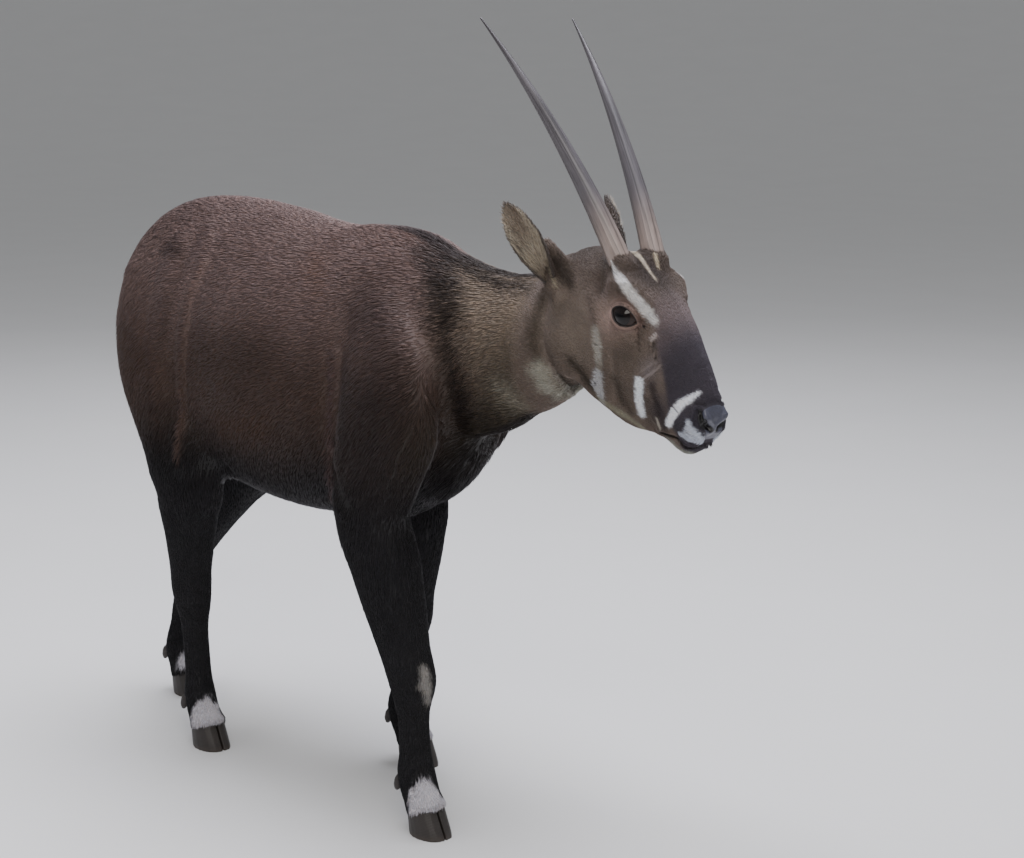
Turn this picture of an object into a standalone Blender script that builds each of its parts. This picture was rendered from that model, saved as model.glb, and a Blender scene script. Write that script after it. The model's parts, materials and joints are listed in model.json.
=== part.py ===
"""A saola, standing, as a still life-size model: Blender 4.5, metres, +Z up.

The animal faces +X with its left side towards +Y, and the floor is z = 0. The
flesh is modelled whole, from tubes of oval sections along the spine and limbs and
a few muscle masses, fused into one surface and smoothed. It is then parted with
thin plane cuts into head, neck, torso and legs. Horns, ears, eyes, tail, claws and
dewclaws are solids of their own, set in sockets or against flat cuts.
"""
import math

import bpy
import bmesh
import numpy as np
from mathutils import Matrix, Vector

# Driving sizes of a grown saola, in metres, and angles in degrees.
HORN_LENGTH = 0.370
HORN_RADIUS = 0.0155
HORN_BOW = 0.0137
HORN_RISE = 21.6
HORN_SPREAD = 7.7
EAR_LENGTH = 0.114
EAR_HALF_WIDTH = 0.0255
EAR_THICKNESS = 0.0024
EAR_ROOT_RADIUS = 0.0160
EYE_RADIUS = 0.0205
LID_THICKNESS = 0.0042
EYE_OPENING = (0.0185, 0.0135)
CORONET_HEIGHT = 0.036
CLAW_WIDTH = 0.0245
CLAW_TOE = 0.044
CLAW_HEEL = 0.021
CLEFT = 0.0030
DEWCLAW_LENGTH = 0.024
DEWCLAW_RADIUS = 0.0080
TAIL_RADIUS = 0.018
LOCK_WIDTH = 0.0090
LOCK_THICKNESS = 0.0030
GAP = 0.0003

# The point of the animal's own coordinates, in which x = 0 is the middle of the
# trunk, that stands at the origin of the finished model.
FLOOR_CENTRE = Vector((0.194, 0.0, 0.0))

# How finely the flesh is fused, how much it is smoothed, and the share of its
# triangles that stays.
FUSE_VOXEL = 0.0045
SMOOTH_ROUNDS = 6
TRUNK_SMOOTH_ROUNDS = 40
HEAD_SHARE = 0.085
BODY_SHARE = 0.016

# The head's place: its own x runs from the poll to the nose, its z up out of the
# forehead, and its y to the animal's left.
POLL = Vector((0.585, 0.000, 0.835))
HEAD_DOWN = 33.0
HEAD_LEFT = -3.0

SIDES = {"right": -1.0, "left": 1.0}
LATERAL = Vector((0.0, 1.0, 0.0))

# Finishes: linear colour, roughness, metallic.
FINISHES = {
    "brown_coat": ((0.055, 0.034, 0.024), 0.75, 0.0),
    "neck_coat": ((0.120, 0.090, 0.065), 0.75, 0.0),
    "face_coat": ((0.085, 0.058, 0.045), 0.75, 0.0),
    "black_coat": ((0.022, 0.017, 0.014), 0.75, 0.0),
    "tail_hair": ((0.040, 0.026, 0.020), 0.80, 0.0),
    "ear_skin": ((0.110, 0.080, 0.060), 0.80, 0.0),
    "horn": ((0.060, 0.048, 0.042), 0.40, 0.0),
    "hoof": ((0.045, 0.038, 0.034), 0.50, 0.0),
    "eye": ((0.008, 0.008, 0.010), 0.08, 0.0),
}

# The trunk, rear to front: x, top, bottom, half width.
TRUNK = (
    (-0.390, 0.730, 0.620, 0.046),
    (-0.368, 0.795, 0.570, 0.092),
    (-0.328, 0.845, 0.525, 0.124),
    (-0.260, 0.876, 0.485, 0.144),
    (-0.175, 0.879, 0.450, 0.156),
    (-0.075, 0.868, 0.420, 0.164),
    (0.030, 0.852, 0.408, 0.167),
    (0.120, 0.847, 0.410, 0.160),
    (0.200, 0.852, 0.418, 0.145),
    (0.270, 0.845, 0.430, 0.126),
    (0.335, 0.805, 0.452, 0.100),
    (0.380, 0.745, 0.492, 0.072),
    (0.402, 0.680, 0.540, 0.040),
)
# The widest level of the trunk, as a share of its depth from below.
TRUNK_WAIST = 0.46

# The neck, from inside the shoulders to inside the head: centre, half width, then
# how far it reaches up and down across its own direction.
NECK = (
    (0.180, 0.000, 0.690, 0.075, 0.140, 0.150),
    (0.280, 0.000, 0.690, 0.092, 0.145, 0.156),
    (0.360, 0.000, 0.692, 0.092, 0.128, 0.142),
    (0.430, 0.000, 0.700, 0.084, 0.106, 0.122),
    (0.490, 0.000, 0.710, 0.075, 0.092, 0.108),
    (0.540, 0.000, 0.722, 0.067, 0.086, 0.093),
    (0.580, 0.000, 0.735, 0.058, 0.074, 0.070),
    (0.605, 0.000, 0.745, 0.045, 0.056, 0.050),
)

# The head along its own x: top and bottom of the profile, half width.
HEAD = (
    (-0.012, 0.000, -0.080, 0.036),
    (0.015, 0.022, -0.112, 0.050),
    (0.050, 0.041, -0.126, 0.055),
    (0.090, 0.058, -0.128, 0.058),
    (0.130, 0.067, -0.123, 0.056),
    (0.170, 0.064, -0.115, 0.050),
    (0.210, 0.052, -0.108, 0.040),
    (0.250, 0.034, -0.100, 0.034),
    (0.285, 0.014, -0.092, 0.032),
    (0.310, -0.001, -0.084, 0.029),
    (0.328, -0.017, -0.068, 0.020),
)
# Masses laid on the head, in its own axes: place of the left one, radii.
HEAD_MASSES = {
    "cheek": ((0.078, 0.032, -0.076), (0.062, 0.030, 0.056)),
    "brow": ((0.142, 0.035, 0.040), (0.046, 0.021, 0.022)),
    "muzzle": ((0.303, 0.012, -0.038), (0.030, 0.021, 0.032)),
    "chin": ((0.298, 0.004, -0.076), (0.026, 0.016, 0.015)),
}
EYE_PLACE = (0.1534, 0.0365, 0.018)
EYE_AXIS = (0.24, 0.95, 0.14)
# How the opening between the lids widens: distance out from the eye's middle and
# spread, as shares of the eye's radius and of the opening.
EYE_FLARE = ((0.40, 0.90), (0.95, 1.00), (1.30, 1.35), (2.20, 2.00))
HORN_PLACE = (0.089, 0.032, 0.067)
EAR_PLACE = (0.036, 0.053, -0.020)
EAR_TIP_WAYS = {"right": (-0.733, -0.430, 0.526), "left": (-0.852, 0.285, 0.438)}
EAR_OPENING_WAY = (0.450, 0.800, 0.250)
NOSTRIL_PLACE = (0.325, 0.0205, -0.016)
NOSTRIL_RADII = (0.0095, 0.0080, 0.0048)
NOSTRIL_TURN = 35.0
# The line of the mouth, from its left corner to the middle of the lips.
MOUTH_LINE = (
    (0.276, 0.0292, -0.0720),
    (0.295, 0.0290, -0.0690),
    (0.311, 0.0265, -0.0655),
    (0.323, 0.0190, -0.0620),
    (0.330, 0.0095, -0.0600),
    (0.332, 0.0000, -0.0595),
)
MOUTH_HALF_HEIGHT = 0.0012
MOUTH_DEPTH = 0.0050

# The ear from root to tip: share of its length, share of its half width, and the
# half angle in radians through which it is rolled about its own length.
EAR = (
    (0.00, 0.90, 2.50),
    (0.15, 1.00, 2.00),
    (0.35, 1.00, 1.35),
    (0.55, 0.96, 1.00),
    (0.75, 0.76, 0.80),
    (0.90, 0.42, 0.62),
    (1.00, 0.05, 0.45),
)
EAR_ACROSS = 7

# Each leg's joints from the top down to inside the hoof. The right foreleg is set
# forward and the left hind leg back, as in a slow walk.
FORE_JOINTS = {
    "right": (
        (0.210, -0.070, 0.780),
        (0.332, -0.110, 0.600),
        (0.295, -0.118, 0.455),
        (0.362, -0.104, 0.215),
        (0.376, -0.108, 0.082),
        (0.398, -0.112, CORONET_HEIGHT),
        (0.406, -0.113, 0.010),
    ),
    "left": (
        (0.200, 0.070, 0.780),
        (0.262, 0.108, 0.600),
        (0.140, 0.100, 0.460),
        (0.138, 0.086, 0.232),
        (0.134, 0.079, 0.084),
        (0.154, 0.079, CORONET_HEIGHT),
        (0.162, 0.079, 0.010),
    ),
}
HIND_JOINTS = {
    "right": (
        (-0.255, -0.085, 0.770),
        (-0.235, -0.105, 0.610),
        (-0.160, -0.115, 0.445),
        (-0.178, -0.100, 0.250),
        (-0.158, -0.104, 0.080),
        (-0.138, -0.107, CORONET_HEIGHT),
        (-0.130, -0.108, 0.010),
    ),
    "left": (
        (-0.255, 0.085, 0.770),
        (-0.250, 0.105, 0.610),
        (-0.265, 0.100, 0.450),
        (-0.420, 0.066, 0.242),
        (-0.420, 0.040, 0.080),
        (-0.400, 0.037, CORONET_HEIGHT),
        (-0.392, 0.037, 0.010),
    ),
}
# A leg's shape: the joint's number with the share of the way to the next joint,
# then how far it reaches forwards, backwards and to either side.
FORE_SHAPE = (
    (0.0, 0.050, 0.060, 0.024),
    (0.5, 0.085, 0.095, 0.042),
    (1.0, 0.086, 0.108, 0.052),
    (1.6, 0.072, 0.082, 0.052),
    (2.0, 0.062, 0.066, 0.049),
    (2.25, 0.057, 0.055, 0.046),
    (2.55, 0.049, 0.046, 0.041),
    (2.82, 0.037, 0.035, 0.035),
    (3.0, 0.037, 0.031, 0.033),
    (3.2, 0.028, 0.026, 0.027),
    (3.4, 0.021, 0.022, 0.022),
    (3.75, 0.021, 0.023, 0.022),
    (4.0, 0.025, 0.031, 0.027),
    (4.5, 0.024, 0.026, 0.026),
    (5.0, 0.026, 0.026, 0.0265),
    (6.0, 0.028, 0.028, 0.0275),
)
HIND_SHAPE = (
    (0.0, 0.085, 0.085, 0.045),
    (0.5, 0.118, 0.110, 0.056),
    (1.0, 0.132, 0.095, 0.060),
    (1.5, 0.115, 0.083, 0.056),
    (2.0, 0.080, 0.083, 0.047),
    (2.3, 0.056, 0.064, 0.038),
    (2.6, 0.042, 0.048, 0.032),
    (2.85, 0.034, 0.043, 0.028),
    (3.0, 0.034, 0.042, 0.027),
    (3.15, 0.029, 0.033, 0.025),
    (3.35, 0.021, 0.024, 0.020),
    (3.75, 0.019, 0.022, 0.020),
    (4.0, 0.022, 0.028, 0.024),
    (4.5, 0.022, 0.024, 0.025),
    (5.0, 0.025, 0.025, 0.0260),
    (6.0, 0.027, 0.027, 0.0270),
)
LEGS = {
    "fore_right": (FORE_JOINTS["right"], FORE_SHAPE),
    "fore_left": (FORE_JOINTS["left"], FORE_SHAPE),
    "hind_right": (HIND_JOINTS["right"], HIND_SHAPE),
    "hind_left": (HIND_JOINTS["left"], HIND_SHAPE),
}
CORONET_JOINT = 5
FETLOCK_JOINT = 4

# The claw from sole to above the coronet: height, toe's and heel's distance from
# the foot's middle as shares of theirs on the floor, and the share of the width.
CLAW = (
    (0.000, 1.00, 0.96, 0.97),
    (0.006, 0.97, 1.03, 1.00),
    (0.025, 0.76, 1.10, 1.00),
    (0.045, 0.54, 1.16, 0.98),
    (0.060, 0.42, 1.20, 0.96),
)

# The tail, from inside the rump to its end: centre, half width, half depth.
TAIL = (
    (-0.352, 0.0, 0.812, 1.00, 1.00),
    (-0.384, 0.0, 0.800, 1.00, 1.00),
    (-0.412, 0.0, 0.765, 0.90, 0.85),
    (-0.418, 0.0, 0.715, 0.78, 0.66),
    (-0.410, 0.0, 0.660, 0.72, 0.58),
    (-0.403, 0.0, 0.610, 0.60, 0.48),
    (-0.400, 0.0, 0.585, 0.30, 0.25),
)
TAIL_SOCKET_ROWS = 3
TUFT_TIERS = ((0.655, 4), (0.632, 5), (0.608, 4))
LOCK_LENGTH = 0.078

# The planes that part the flesh, each by a low and a high point (x, z) in profile,
# and the level at which the legs are parted from the torso, just under the belly.
HEAD_PLANE = ((0.520, 0.620), (0.552, 0.860))
NECK_PLANE = ((0.458, 0.500), (0.345, 0.860))
LEG_TOP = 0.400
# The coronet, the hoof's upper rim, rises forwards by this slope.
CORONET_SLOPE = 0.48
# A box that reaches this far takes in the whole animal.
FAR = 2.0


def finish(name):
    """The named material, made once."""
    if name in bpy.data.materials:
        return bpy.data.materials[name]
    colour, roughness, metallic = FINISHES[name]
    made = bpy.data.materials.new(name)
    made.use_nodes = True
    shader = made.node_tree.nodes["Principled BSDF"]
    shader.inputs["Base Color"].default_value = (*colour, 1.0)
    shader.inputs["Roughness"].default_value = roughness
    shader.inputs["Metallic"].default_value = metallic
    return made


def from_bmesh(name, bm, look=None):
    """A new object in the scene from a closed bmesh, with its faces turned out."""
    bmesh.ops.recalc_face_normals(bm, faces=bm.faces)
    mesh = bpy.data.meshes.new(name)
    bm.to_mesh(mesh)
    bm.free()
    made = bpy.data.objects.new(name, mesh)
    bpy.context.scene.collection.objects.link(made)
    if look:
        mesh.materials.append(finish(look))
    return made


def discard(objects):
    for each in list(objects):
        bpy.data.objects.remove(each, do_unlink=True)


def apply_modifiers(obj):
    bpy.ops.object.select_all(action="DESELECT")
    obj.select_set(True)
    bpy.context.view_layer.objects.active = obj
    for modifier in list(obj.modifiers):
        bpy.ops.object.modifier_apply(modifier=modifier.name)


def keep_largest(obj):
    """Drops every closed surface but the one with the most points."""
    bm = bmesh.new()
    bm.from_mesh(obj.data)
    unseen = set(bm.verts)
    surfaces = []
    while unseen:
        surface = {unseen.pop()}
        frontier = list(surface)
        while frontier:
            for edge in frontier.pop().link_edges:
                for vert in edge.verts:
                    if vert in unseen:
                        unseen.discard(vert)
                        surface.add(vert)
                        frontier.append(vert)
        surfaces.append(surface)
    largest = max(surfaces, key=len)
    bmesh.ops.delete(bm, geom=[v for v in bm.verts if v not in largest], context="VERTS")
    bm.to_mesh(obj.data)
    bm.free()


def boolean(target, others, operation):
    """Cuts target with the other closed objects, or joins them to it, and drops them."""
    group = bpy.data.collections.new("operands")
    bpy.context.scene.collection.children.link(group)
    for each in others:
        group.objects.link(each)
    modifier = target.modifiers.new("combine", "BOOLEAN")
    modifier.operand_type = "COLLECTION"
    modifier.collection = group
    modifier.operation = operation
    modifier.solver = "EXACT"
    apply_modifiers(target)
    discard(others)
    bpy.data.collections.remove(group)
    keep_largest(target)


def smooth_rows(rows, steps):
    """Rows of numbers with more rows between them, on a smooth curve through all."""
    given = np.array(rows, float)
    ends = np.vstack([2 * given[0] - given[1], given, 2 * given[-1] - given[-2]])
    out = []
    for i in range(len(given) - 1):
        a, b, c, d = ends[i : i + 4]
        for t in np.arange(steps) / steps:
            bend = (2 * a - 5 * b + 4 * c - d) * t**2
            twist = (3 * b - a - 3 * c + d) * t**3
            out.append(0.5 * (2 * b + (c - a) * t + bend + twist))
    out.append(given[-1])
    return np.array(out)


def oval(half, up, down, squareness, count):
    """Points (across, upward) round an oval. A squareness of 2 is an ellipse."""
    points = []
    for k in range(count):
        angle = 2 * math.pi * k / count
        c, s = math.cos(angle), math.sin(angle)
        across = half * math.copysign(abs(c) ** (2 / squareness), c)
        upward = math.copysign(abs(s) ** (2 / squareness), s)
        points.append((across, upward * (up if s > 0 else down)))
    return points


def closed_rings(rings_of_points):
    """A bmesh that joins rings of points, given as vectors, into one closed solid."""
    bm = bmesh.new()
    rings = [[bm.verts.new(point) for point in ring] for ring in rings_of_points]
    count = len(rings[0])
    for first, second in zip(rings, rings[1:]):
        for k in range(count):
            m = (k + 1) % count
            bm.faces.new((first[k], first[m], second[m], second[k]))
    bm.faces.new(rings[0][::-1])
    bm.faces.new(rings[-1])
    return bm


def tube(name, rows, across=LATERAL, steps=4, count=28, squareness=2.0, look=None):
    """A closed tube of ovals along a smooth path.

    A row is (x, y, z, half width, up, down). The half width lies along the across
    axis, and up is the side that the path's direction crossed with it points to.
    """
    rows = smooth_rows(rows, steps)
    centres = rows[:, :3]
    rings = []
    for i, row in enumerate(rows):
        before, after = centres[max(i - 1, 0)], centres[min(i + 1, len(rows) - 1)]
        along = Vector(after - before).normalized()
        side = (across - along * across.dot(along)).normalized()
        upward = along.cross(side)
        centre = Vector(row[:3])
        section = oval(row[3], row[4], row[5], squareness, count)
        rings.append([centre + side * u + upward * v for u, v in section])
    return from_bmesh(name, closed_rings(rings), look)


def ball(name, place, radii, segments=24, rings=16, look=None):
    """An ellipsoid, placed by a matrix."""
    bm = bmesh.new()
    bmesh.ops.create_uvsphere(bm, u_segments=segments, v_segments=rings, radius=1.0)
    bm.transform(place @ Matrix.Diagonal((*radii, 1.0)))
    return from_bmesh(name, bm, look)


def box(name, low, high, place=Matrix.Identity(4)):
    """A box between two corners, in the axes of a matrix."""
    low, high = Vector(low), Vector(high)
    bm = bmesh.new()
    bmesh.ops.create_cube(bm, size=1.0)
    stretch = Matrix.Diagonal((*(high - low), 1.0))
    bm.transform(place @ Matrix.Translation((low + high) / 2) @ stretch)
    return from_bmesh(name, bm)


def axes(x_way, z_way):
    """A turn whose z is z_way and whose x is x_way, made square to it."""
    z = Vector(z_way).normalized()
    x = Vector(x_way)
    x = (x - z * x.dot(z)).normalized()
    return Matrix((x, z.cross(x), z)).transposed().to_4x4()


def slab(name, low_point, high_point, side, shift=0.0):
    """Everything on one side of the plane that holds the lateral axis and two points
    (x, z) in profile. Seen from the animal's right, with the low point below the
    high one, side +1 is the right-hand side, and shift moves the plane that way."""
    low = Vector((low_point[0], 0.0, low_point[1]))
    high = Vector((high_point[0], 0.0, high_point[1]))
    upward = (high - low).normalized()
    onward = LATERAL.cross(upward)
    place = Matrix.Translation(low + onward * shift) @ axes(onward, upward)
    if side > 0:
        return box(name, (0, -FAR, -FAR), (FAR, FAR, FAR), place)
    return box(name, (-FAR, -FAR, -FAR), (0, FAR, FAR), place)


def on_head():
    """From the head's own axes to the animal's."""
    left = Matrix.Rotation(math.radians(HEAD_LEFT), 4, "Z")
    down = Matrix.Rotation(math.radians(HEAD_DOWN), 4, "Y")
    return Matrix.Translation(POLL) @ left @ down


def sided(point, side):
    """A point or a way given for the left side, on the side asked for."""
    return Vector((point[0], point[1] * side, point[2]))


def profile_rows(profile, waist):
    """Tube rows from a profile of (x, top, bottom, half width)."""
    rows = []
    for x, top, bottom, half in profile:
        middle = bottom + waist * (top - bottom)
        rows.append((x, 0.0, middle, half, top - middle, middle - bottom))
    return rows


def leg_rows(joints, shape):
    """Tube rows of a leg: each row of the shape on the line from joint to joint."""
    rows = []
    for at, forward, backward, half in shape:
        i = min(int(at), len(joints) - 2)
        centre = Vector(joints[i]).lerp(Vector(joints[i + 1]), at - i)
        rows.append((*centre, half, forward, backward))
    return rows


def eye_frame(side):
    """The eyeball's centre, with z out of the opening and x along its length."""
    turn = axes((1.0, 0.0, 0.25), sided(EYE_AXIS, side))
    return on_head() @ Matrix.Translation(sided(EYE_PLACE, side)) @ turn


def head_pieces():
    """The overlapping closed forms of the head."""
    skull = tube("skull", profile_rows(HEAD, 0.5), count=36, squareness=2.4)
    skull.data.transform(on_head())
    pieces = [skull]
    lid = EYE_RADIUS + LID_THICKNESS
    for side in SIDES.values():
        for name, (centre, radii) in HEAD_MASSES.items():
            place = on_head() @ Matrix.Translation(sided(centre, side))
            pieces.append(ball(name, place, radii))
        pieces.append(ball("lids", eye_frame(side), (lid, lid, lid)))
    return pieces


def body_pieces():
    """The overlapping closed forms of trunk, neck and legs."""
    pieces = [
        tube("trunk", profile_rows(TRUNK, TRUNK_WAIST), count=40, squareness=2.15),
        tube("neck_core", NECK, count=36),
    ]
    for name, (joints, shape) in LEGS.items():
        pieces.append(tube(name, leg_rows(joints, shape), count=24))
    return pieces


def in_head(point):
    """Whether a point lies in front of the cut behind the head."""
    (low_x, low_z), (high_x, high_z) = HEAD_PLANE
    return point.x > low_x + (point.z - low_z) / (high_z - low_z) * (high_x - low_x)


def thin(obj, share, chosen):
    """Leaves only a share of the triangles where the test chosen(point) holds."""
    bm = bmesh.new()
    bm.from_mesh(obj.data)
    for face in bm.faces:
        face.select_set(False)
    for vert in bm.verts:
        vert.select_set(chosen(vert.co))
    bm.select_flush(True)
    bm.to_mesh(obj.data)
    bm.free()
    bpy.context.view_layer.objects.active = obj
    bpy.ops.object.mode_set(mode="EDIT")
    bpy.ops.mesh.decimate(ratio=share)
    bpy.ops.object.mode_set(mode="OBJECT")


def fuse(pieces):
    """One closed, smoothed and thinned surface of all the pieces."""
    bpy.ops.object.select_all(action="DESELECT")
    for each in pieces:
        each.select_set(True)
    bpy.context.view_layer.objects.active = pieces[0]
    bpy.ops.object.join()
    whole = bpy.context.object
    whole.name = "flesh"
    remesh = whole.modifiers.new("fuse", "REMESH")
    remesh.mode = "VOXEL"
    remesh.voxel_size = FUSE_VOXEL
    apply_modifiers(whole)

    trunk = whole.vertex_groups.new(name="trunk")
    legs_end, trunk_start = 0.40, 0.50
    for vert in whole.data.vertices:
        weight = (vert.co.z - legs_end) / (trunk_start - legs_end)
        if in_head(vert.co):
            weight = 0.0
        trunk.add([vert.index], min(max(weight, 0.0), 1.0), "REPLACE")
    for rounds, group in ((SMOOTH_ROUNDS, ""), (TRUNK_SMOOTH_ROUNDS, trunk.name)):
        smooth = whole.modifiers.new("smooth", "SMOOTH")
        smooth.factor = 0.5
        smooth.iterations = rounds
        smooth.vertex_group = group
    apply_modifiers(whole)
    whole.vertex_groups.clear()

    thin(whole, HEAD_SHARE, in_head)
    thin(whole, BODY_SHARE, lambda point: not in_head(point))
    return whole


def coronet_slab(joints, side, shift=0.0):
    """Everything under the tilted plane of the coronet with side +1, or over it with
    side -1. Shift moves the plane down."""
    x, _, z = joints[CORONET_JOINT]
    run = 0.1
    back = (x - run, z - run * CORONET_SLOPE)
    front = (x + run, z + run * CORONET_SLOPE)
    return slab("coronet", back, front, side, shift)


def leg_box(name, grow):
    """The quarter of the space under the torso that holds one leg."""
    which, side = name.split("_")
    low_y, high_y = sorted((-SIDES[side] * grow, SIDES[side] * FAR))
    low_x, high_x = (-FAR, grow) if which == "hind" else (-grow, FAR)
    return box("leg_box", (low_x, low_y, -FAR), (high_x, high_y, LEG_TOP + grow))


def cut_from(flesh, name, look, cutters, operation):
    """A node: a copy of the flesh, cut."""
    node = flesh.copy()
    node.data = flesh.data.copy()
    node.name = name
    bpy.context.scene.collection.objects.link(node)
    node.data.materials.clear()
    node.data.materials.append(finish(look))
    boolean(node, cutters, operation)
    return node


def part_flesh(flesh):
    """The flesh parted into nodes, by name."""
    behind_head = [slab("behind_head", *HEAD_PLANE, -1, GAP)]
    neck_ends = [slab("before_neck", *HEAD_PLANE, 1), slab("behind_neck", *NECK_PLANE, -1, GAP)]
    off_torso = [slab("before_torso", *NECK_PLANE, 1)]
    off_torso += [leg_box(name, GAP) for name in LEGS]
    nodes = {
        "head": cut_from(flesh, "head", "face_coat", behind_head, "DIFFERENCE"),
        "neck": cut_from(flesh, "neck", "neck_coat", neck_ends, "DIFFERENCE"),
        "torso": cut_from(flesh, "torso", "brown_coat", off_torso, "DIFFERENCE"),
    }
    for name, (joints, _) in LEGS.items():
        leg = cut_from(flesh, "leg_" + name, "black_coat", [leg_box(name, 0.0)], "INTERSECT")
        boolean(leg, [coronet_slab(joints, 1)], "DIFFERENCE")
        nodes["leg_" + name] = leg
    return nodes


def eye(name, side, grow=0.0, look=None):
    radius = EYE_RADIUS + grow
    return ball(name, eye_frame(side), (radius, radius, radius), 16, 10, look)


def eye_opening(side):
    """A cutter for the almond between the lids, which flares outwards."""
    half_length, half_height = EYE_OPENING
    count = 16
    rings = []
    for depth, spread in EYE_FLARE:
        ring = []
        for k in range(count):
            c = math.cos(2 * math.pi * k / count)
            s = math.sin(2 * math.pi * k / count)
            x = half_length * spread * c
            y = half_height * spread * math.copysign(abs(s) ** 1.3, s)
            ring.append(Vector((x, y, EYE_RADIUS * depth)))
        rings.append(ring)
    bm = closed_rings(rings)
    bm.transform(eye_frame(side))
    return from_bmesh("eye_opening", bm)


def horn(name, side, grow=0.0, look=None):
    """A horn from inside the skull to its tip, on the head."""
    rise, spread = math.radians(HORN_RISE), math.radians(HORN_SPREAD)
    way = Vector((-math.cos(rise) * math.cos(spread), side * math.sin(spread),
                  math.sin(rise) * math.cos(spread)))
    bow = LATERAL.cross(way).normalized()
    root = sided(HORN_PLACE, side)
    buried = 0.05
    rows = []
    for s in np.linspace(-buried, 1.0, 12):
        centre = root + way * HORN_LENGTH * s + bow * HORN_BOW * 4 * s * (1 - s)
        radius = HORN_RADIUS * (1.0 - 0.93 * max(s, 0.0) ** 1.1) + grow
        rows.append((*centre, 0.94 * radius, 1.06 * radius, 1.06 * radius))
    made = tube(name, rows, steps=1, count=16, look=look)
    made.data.transform(on_head())
    return made


def ear_frame(label):
    """The ear's root, with z to its tip and x out of its opening."""
    side = SIDES[label]
    turn = axes(sided(EAR_OPENING_WAY, side), EAR_TIP_WAYS[label])
    return on_head() @ Matrix.Translation(sided(EAR_PLACE, side)) @ turn


def ear_root(name, label, grow=0.0):
    """The thick base of the ear, half sunk in the head."""
    radius = EAR_ROOT_RADIUS + grow
    return ball(name, ear_frame(label), (radius, radius, 1.5 * radius), 12, 8)


def ear(name, label):
    """An ear: a leaf rolled at its root into a cup, open outwards and forwards."""
    start = 0.010
    rings = []
    for share, width, half_angle in smooth_rows(EAR, 2):
        radius = EAR_HALF_WIDTH * width / half_angle
        ring = []
        for around, offset in ((1, EAR_THICKNESS / 2), (-1, -EAR_THICKNESS / 2)):
            for k in range(EAR_ACROSS + 1):
                angle = half_angle * around * (2 * k / EAR_ACROSS - 1)
                reach = radius + offset
                x = radius - reach * math.cos(angle)
                y = reach * math.sin(angle)
                ring.append(Vector((x, y, start + EAR_LENGTH * share)))
        rings.append(ring)
    bm = closed_rings(rings)
    bm.transform(ear_frame(label))
    made = from_bmesh(name, bm, "ear_skin")
    boolean(made, [ear_root("root", label)], "UNION")
    return made


def mouth_line():
    """A thin blade that cuts the line of the mouth round the muzzle."""
    left = [(*point, MOUTH_HALF_HEIGHT, MOUTH_DEPTH, MOUTH_DEPTH) for point in MOUTH_LINE]
    right = [(row[0], -row[1], *row[2:]) for row in left[-2::-1]]
    made = tube("mouth_line", left + right, Vector((0.0, 0.0, 1.0)), steps=2, count=6)
    made.data.transform(on_head())
    return made


def nostril(side):
    turn = Matrix.Rotation(math.radians(NOSTRIL_TURN), 4, "Y")
    place = on_head() @ Matrix.Translation(sided(NOSTRIL_PLACE, side)) @ turn
    return ball("nostril", place, NOSTRIL_RADII, 12, 8)


def claw(name, joints, side):
    """One half of a hoof, on the floor, cut off flat at the coronet."""
    x0, y0, _ = joints[CORONET_JOINT]
    outer_points, inner_points = 9, 3
    rings = []
    for height, toe, heel, width in CLAW:
        front, back = CLAW_TOE * toe, -CLAW_HEEL * heel
        middle, half = (front + back) / 2, (front - back) / 2
        ring = []
        for k in range(outer_points):
            angle = math.pi * k / (outer_points - 1)
            across = CLAW_WIDTH * width * math.sin(angle) ** 0.75
            ring.append((middle + half * math.cos(angle), across))
        for k in range(1, inner_points):
            ring.append((back + (front - back) * k / inner_points, 0.0))
        rings.append([
            Vector((x0 + x, y0 + side * (CLEFT / 2 + y), height)) for x, y in ring
        ])
    made = from_bmesh(name, closed_rings(rings), "hoof")
    boolean(made, [coronet_slab(joints, -1, GAP)], "DIFFERENCE")
    return made


def dewclaw(name, joints, side, grow=0.0, look=None):
    """A small blunt claw behind the fetlock, sunk in the leg."""
    place = Vector(joints[FETLOCK_JOINT]) + Vector((-0.019, side * 0.0135, -0.004))
    way = Vector((-0.32, side * 0.10, -0.95)).normalized()
    rows = []
    for share, width in ((0.0, 0.75), (0.3, 1.0), (0.7, 0.85), (1.0, 0.35)):
        centre = place + way * (DEWCLAW_LENGTH * share + grow * (2 * share - 1))
        radius = DEWCLAW_RADIUS * width + grow
        rows.append((*centre, radius, radius, radius))
    return tube(name, rows, steps=1, count=10, look=look)


def tail_rows(grow=0.0):
    rows = []
    for x, y, z, half, deep in TAIL:
        reach = TAIL_RADIUS * deep + grow
        rows.append((x, y, z, TAIL_RADIUS * half + grow, reach, reach))
    return rows


def tail_lock(x, z, turn, length):
    """A flat, tapered lock of the tuft that hangs from the tail and flares a little."""
    out = Vector((math.cos(turn), math.sin(turn), 0.0))
    across = Vector((-math.sin(turn), math.cos(turn), 0.0))
    rows = []
    for share, width, thickness, flare in (
        (0.00, 0.70, 0.8, 0.001),
        (0.30, 1.00, 1.0, 0.0065),
        (0.65, 0.80, 0.9, 0.0090),
        (1.00, 0.16, 0.3, 0.0070),
    ):
        centre = Vector((x, 0.0, z - length * share)) + out * flare
        half = LOCK_THICKNESS * thickness
        rows.append((*centre, LOCK_WIDTH * width, half, half))
    return tube("lock", rows, across, steps=1, count=6)


def tail(name):
    """The tail and its tuft of locks."""
    made = tube(name, tail_rows(), steps=2, count=12, look="tail_hair")
    end_x = TAIL[-2][0]
    locks = []
    for tier, (height, count) in enumerate(TUFT_TIERS):
        for k in range(count):
            turn = 2 * math.pi * (k + 0.5 * (tier % 2)) / count
            length = LOCK_LENGTH * (0.92 + 0.16 * ((3 * k + tier) % 4) / 3)
            locks.append(tail_lock(end_x, height, turn, length))
    boolean(made, locks, "UNION")
    return made


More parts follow.
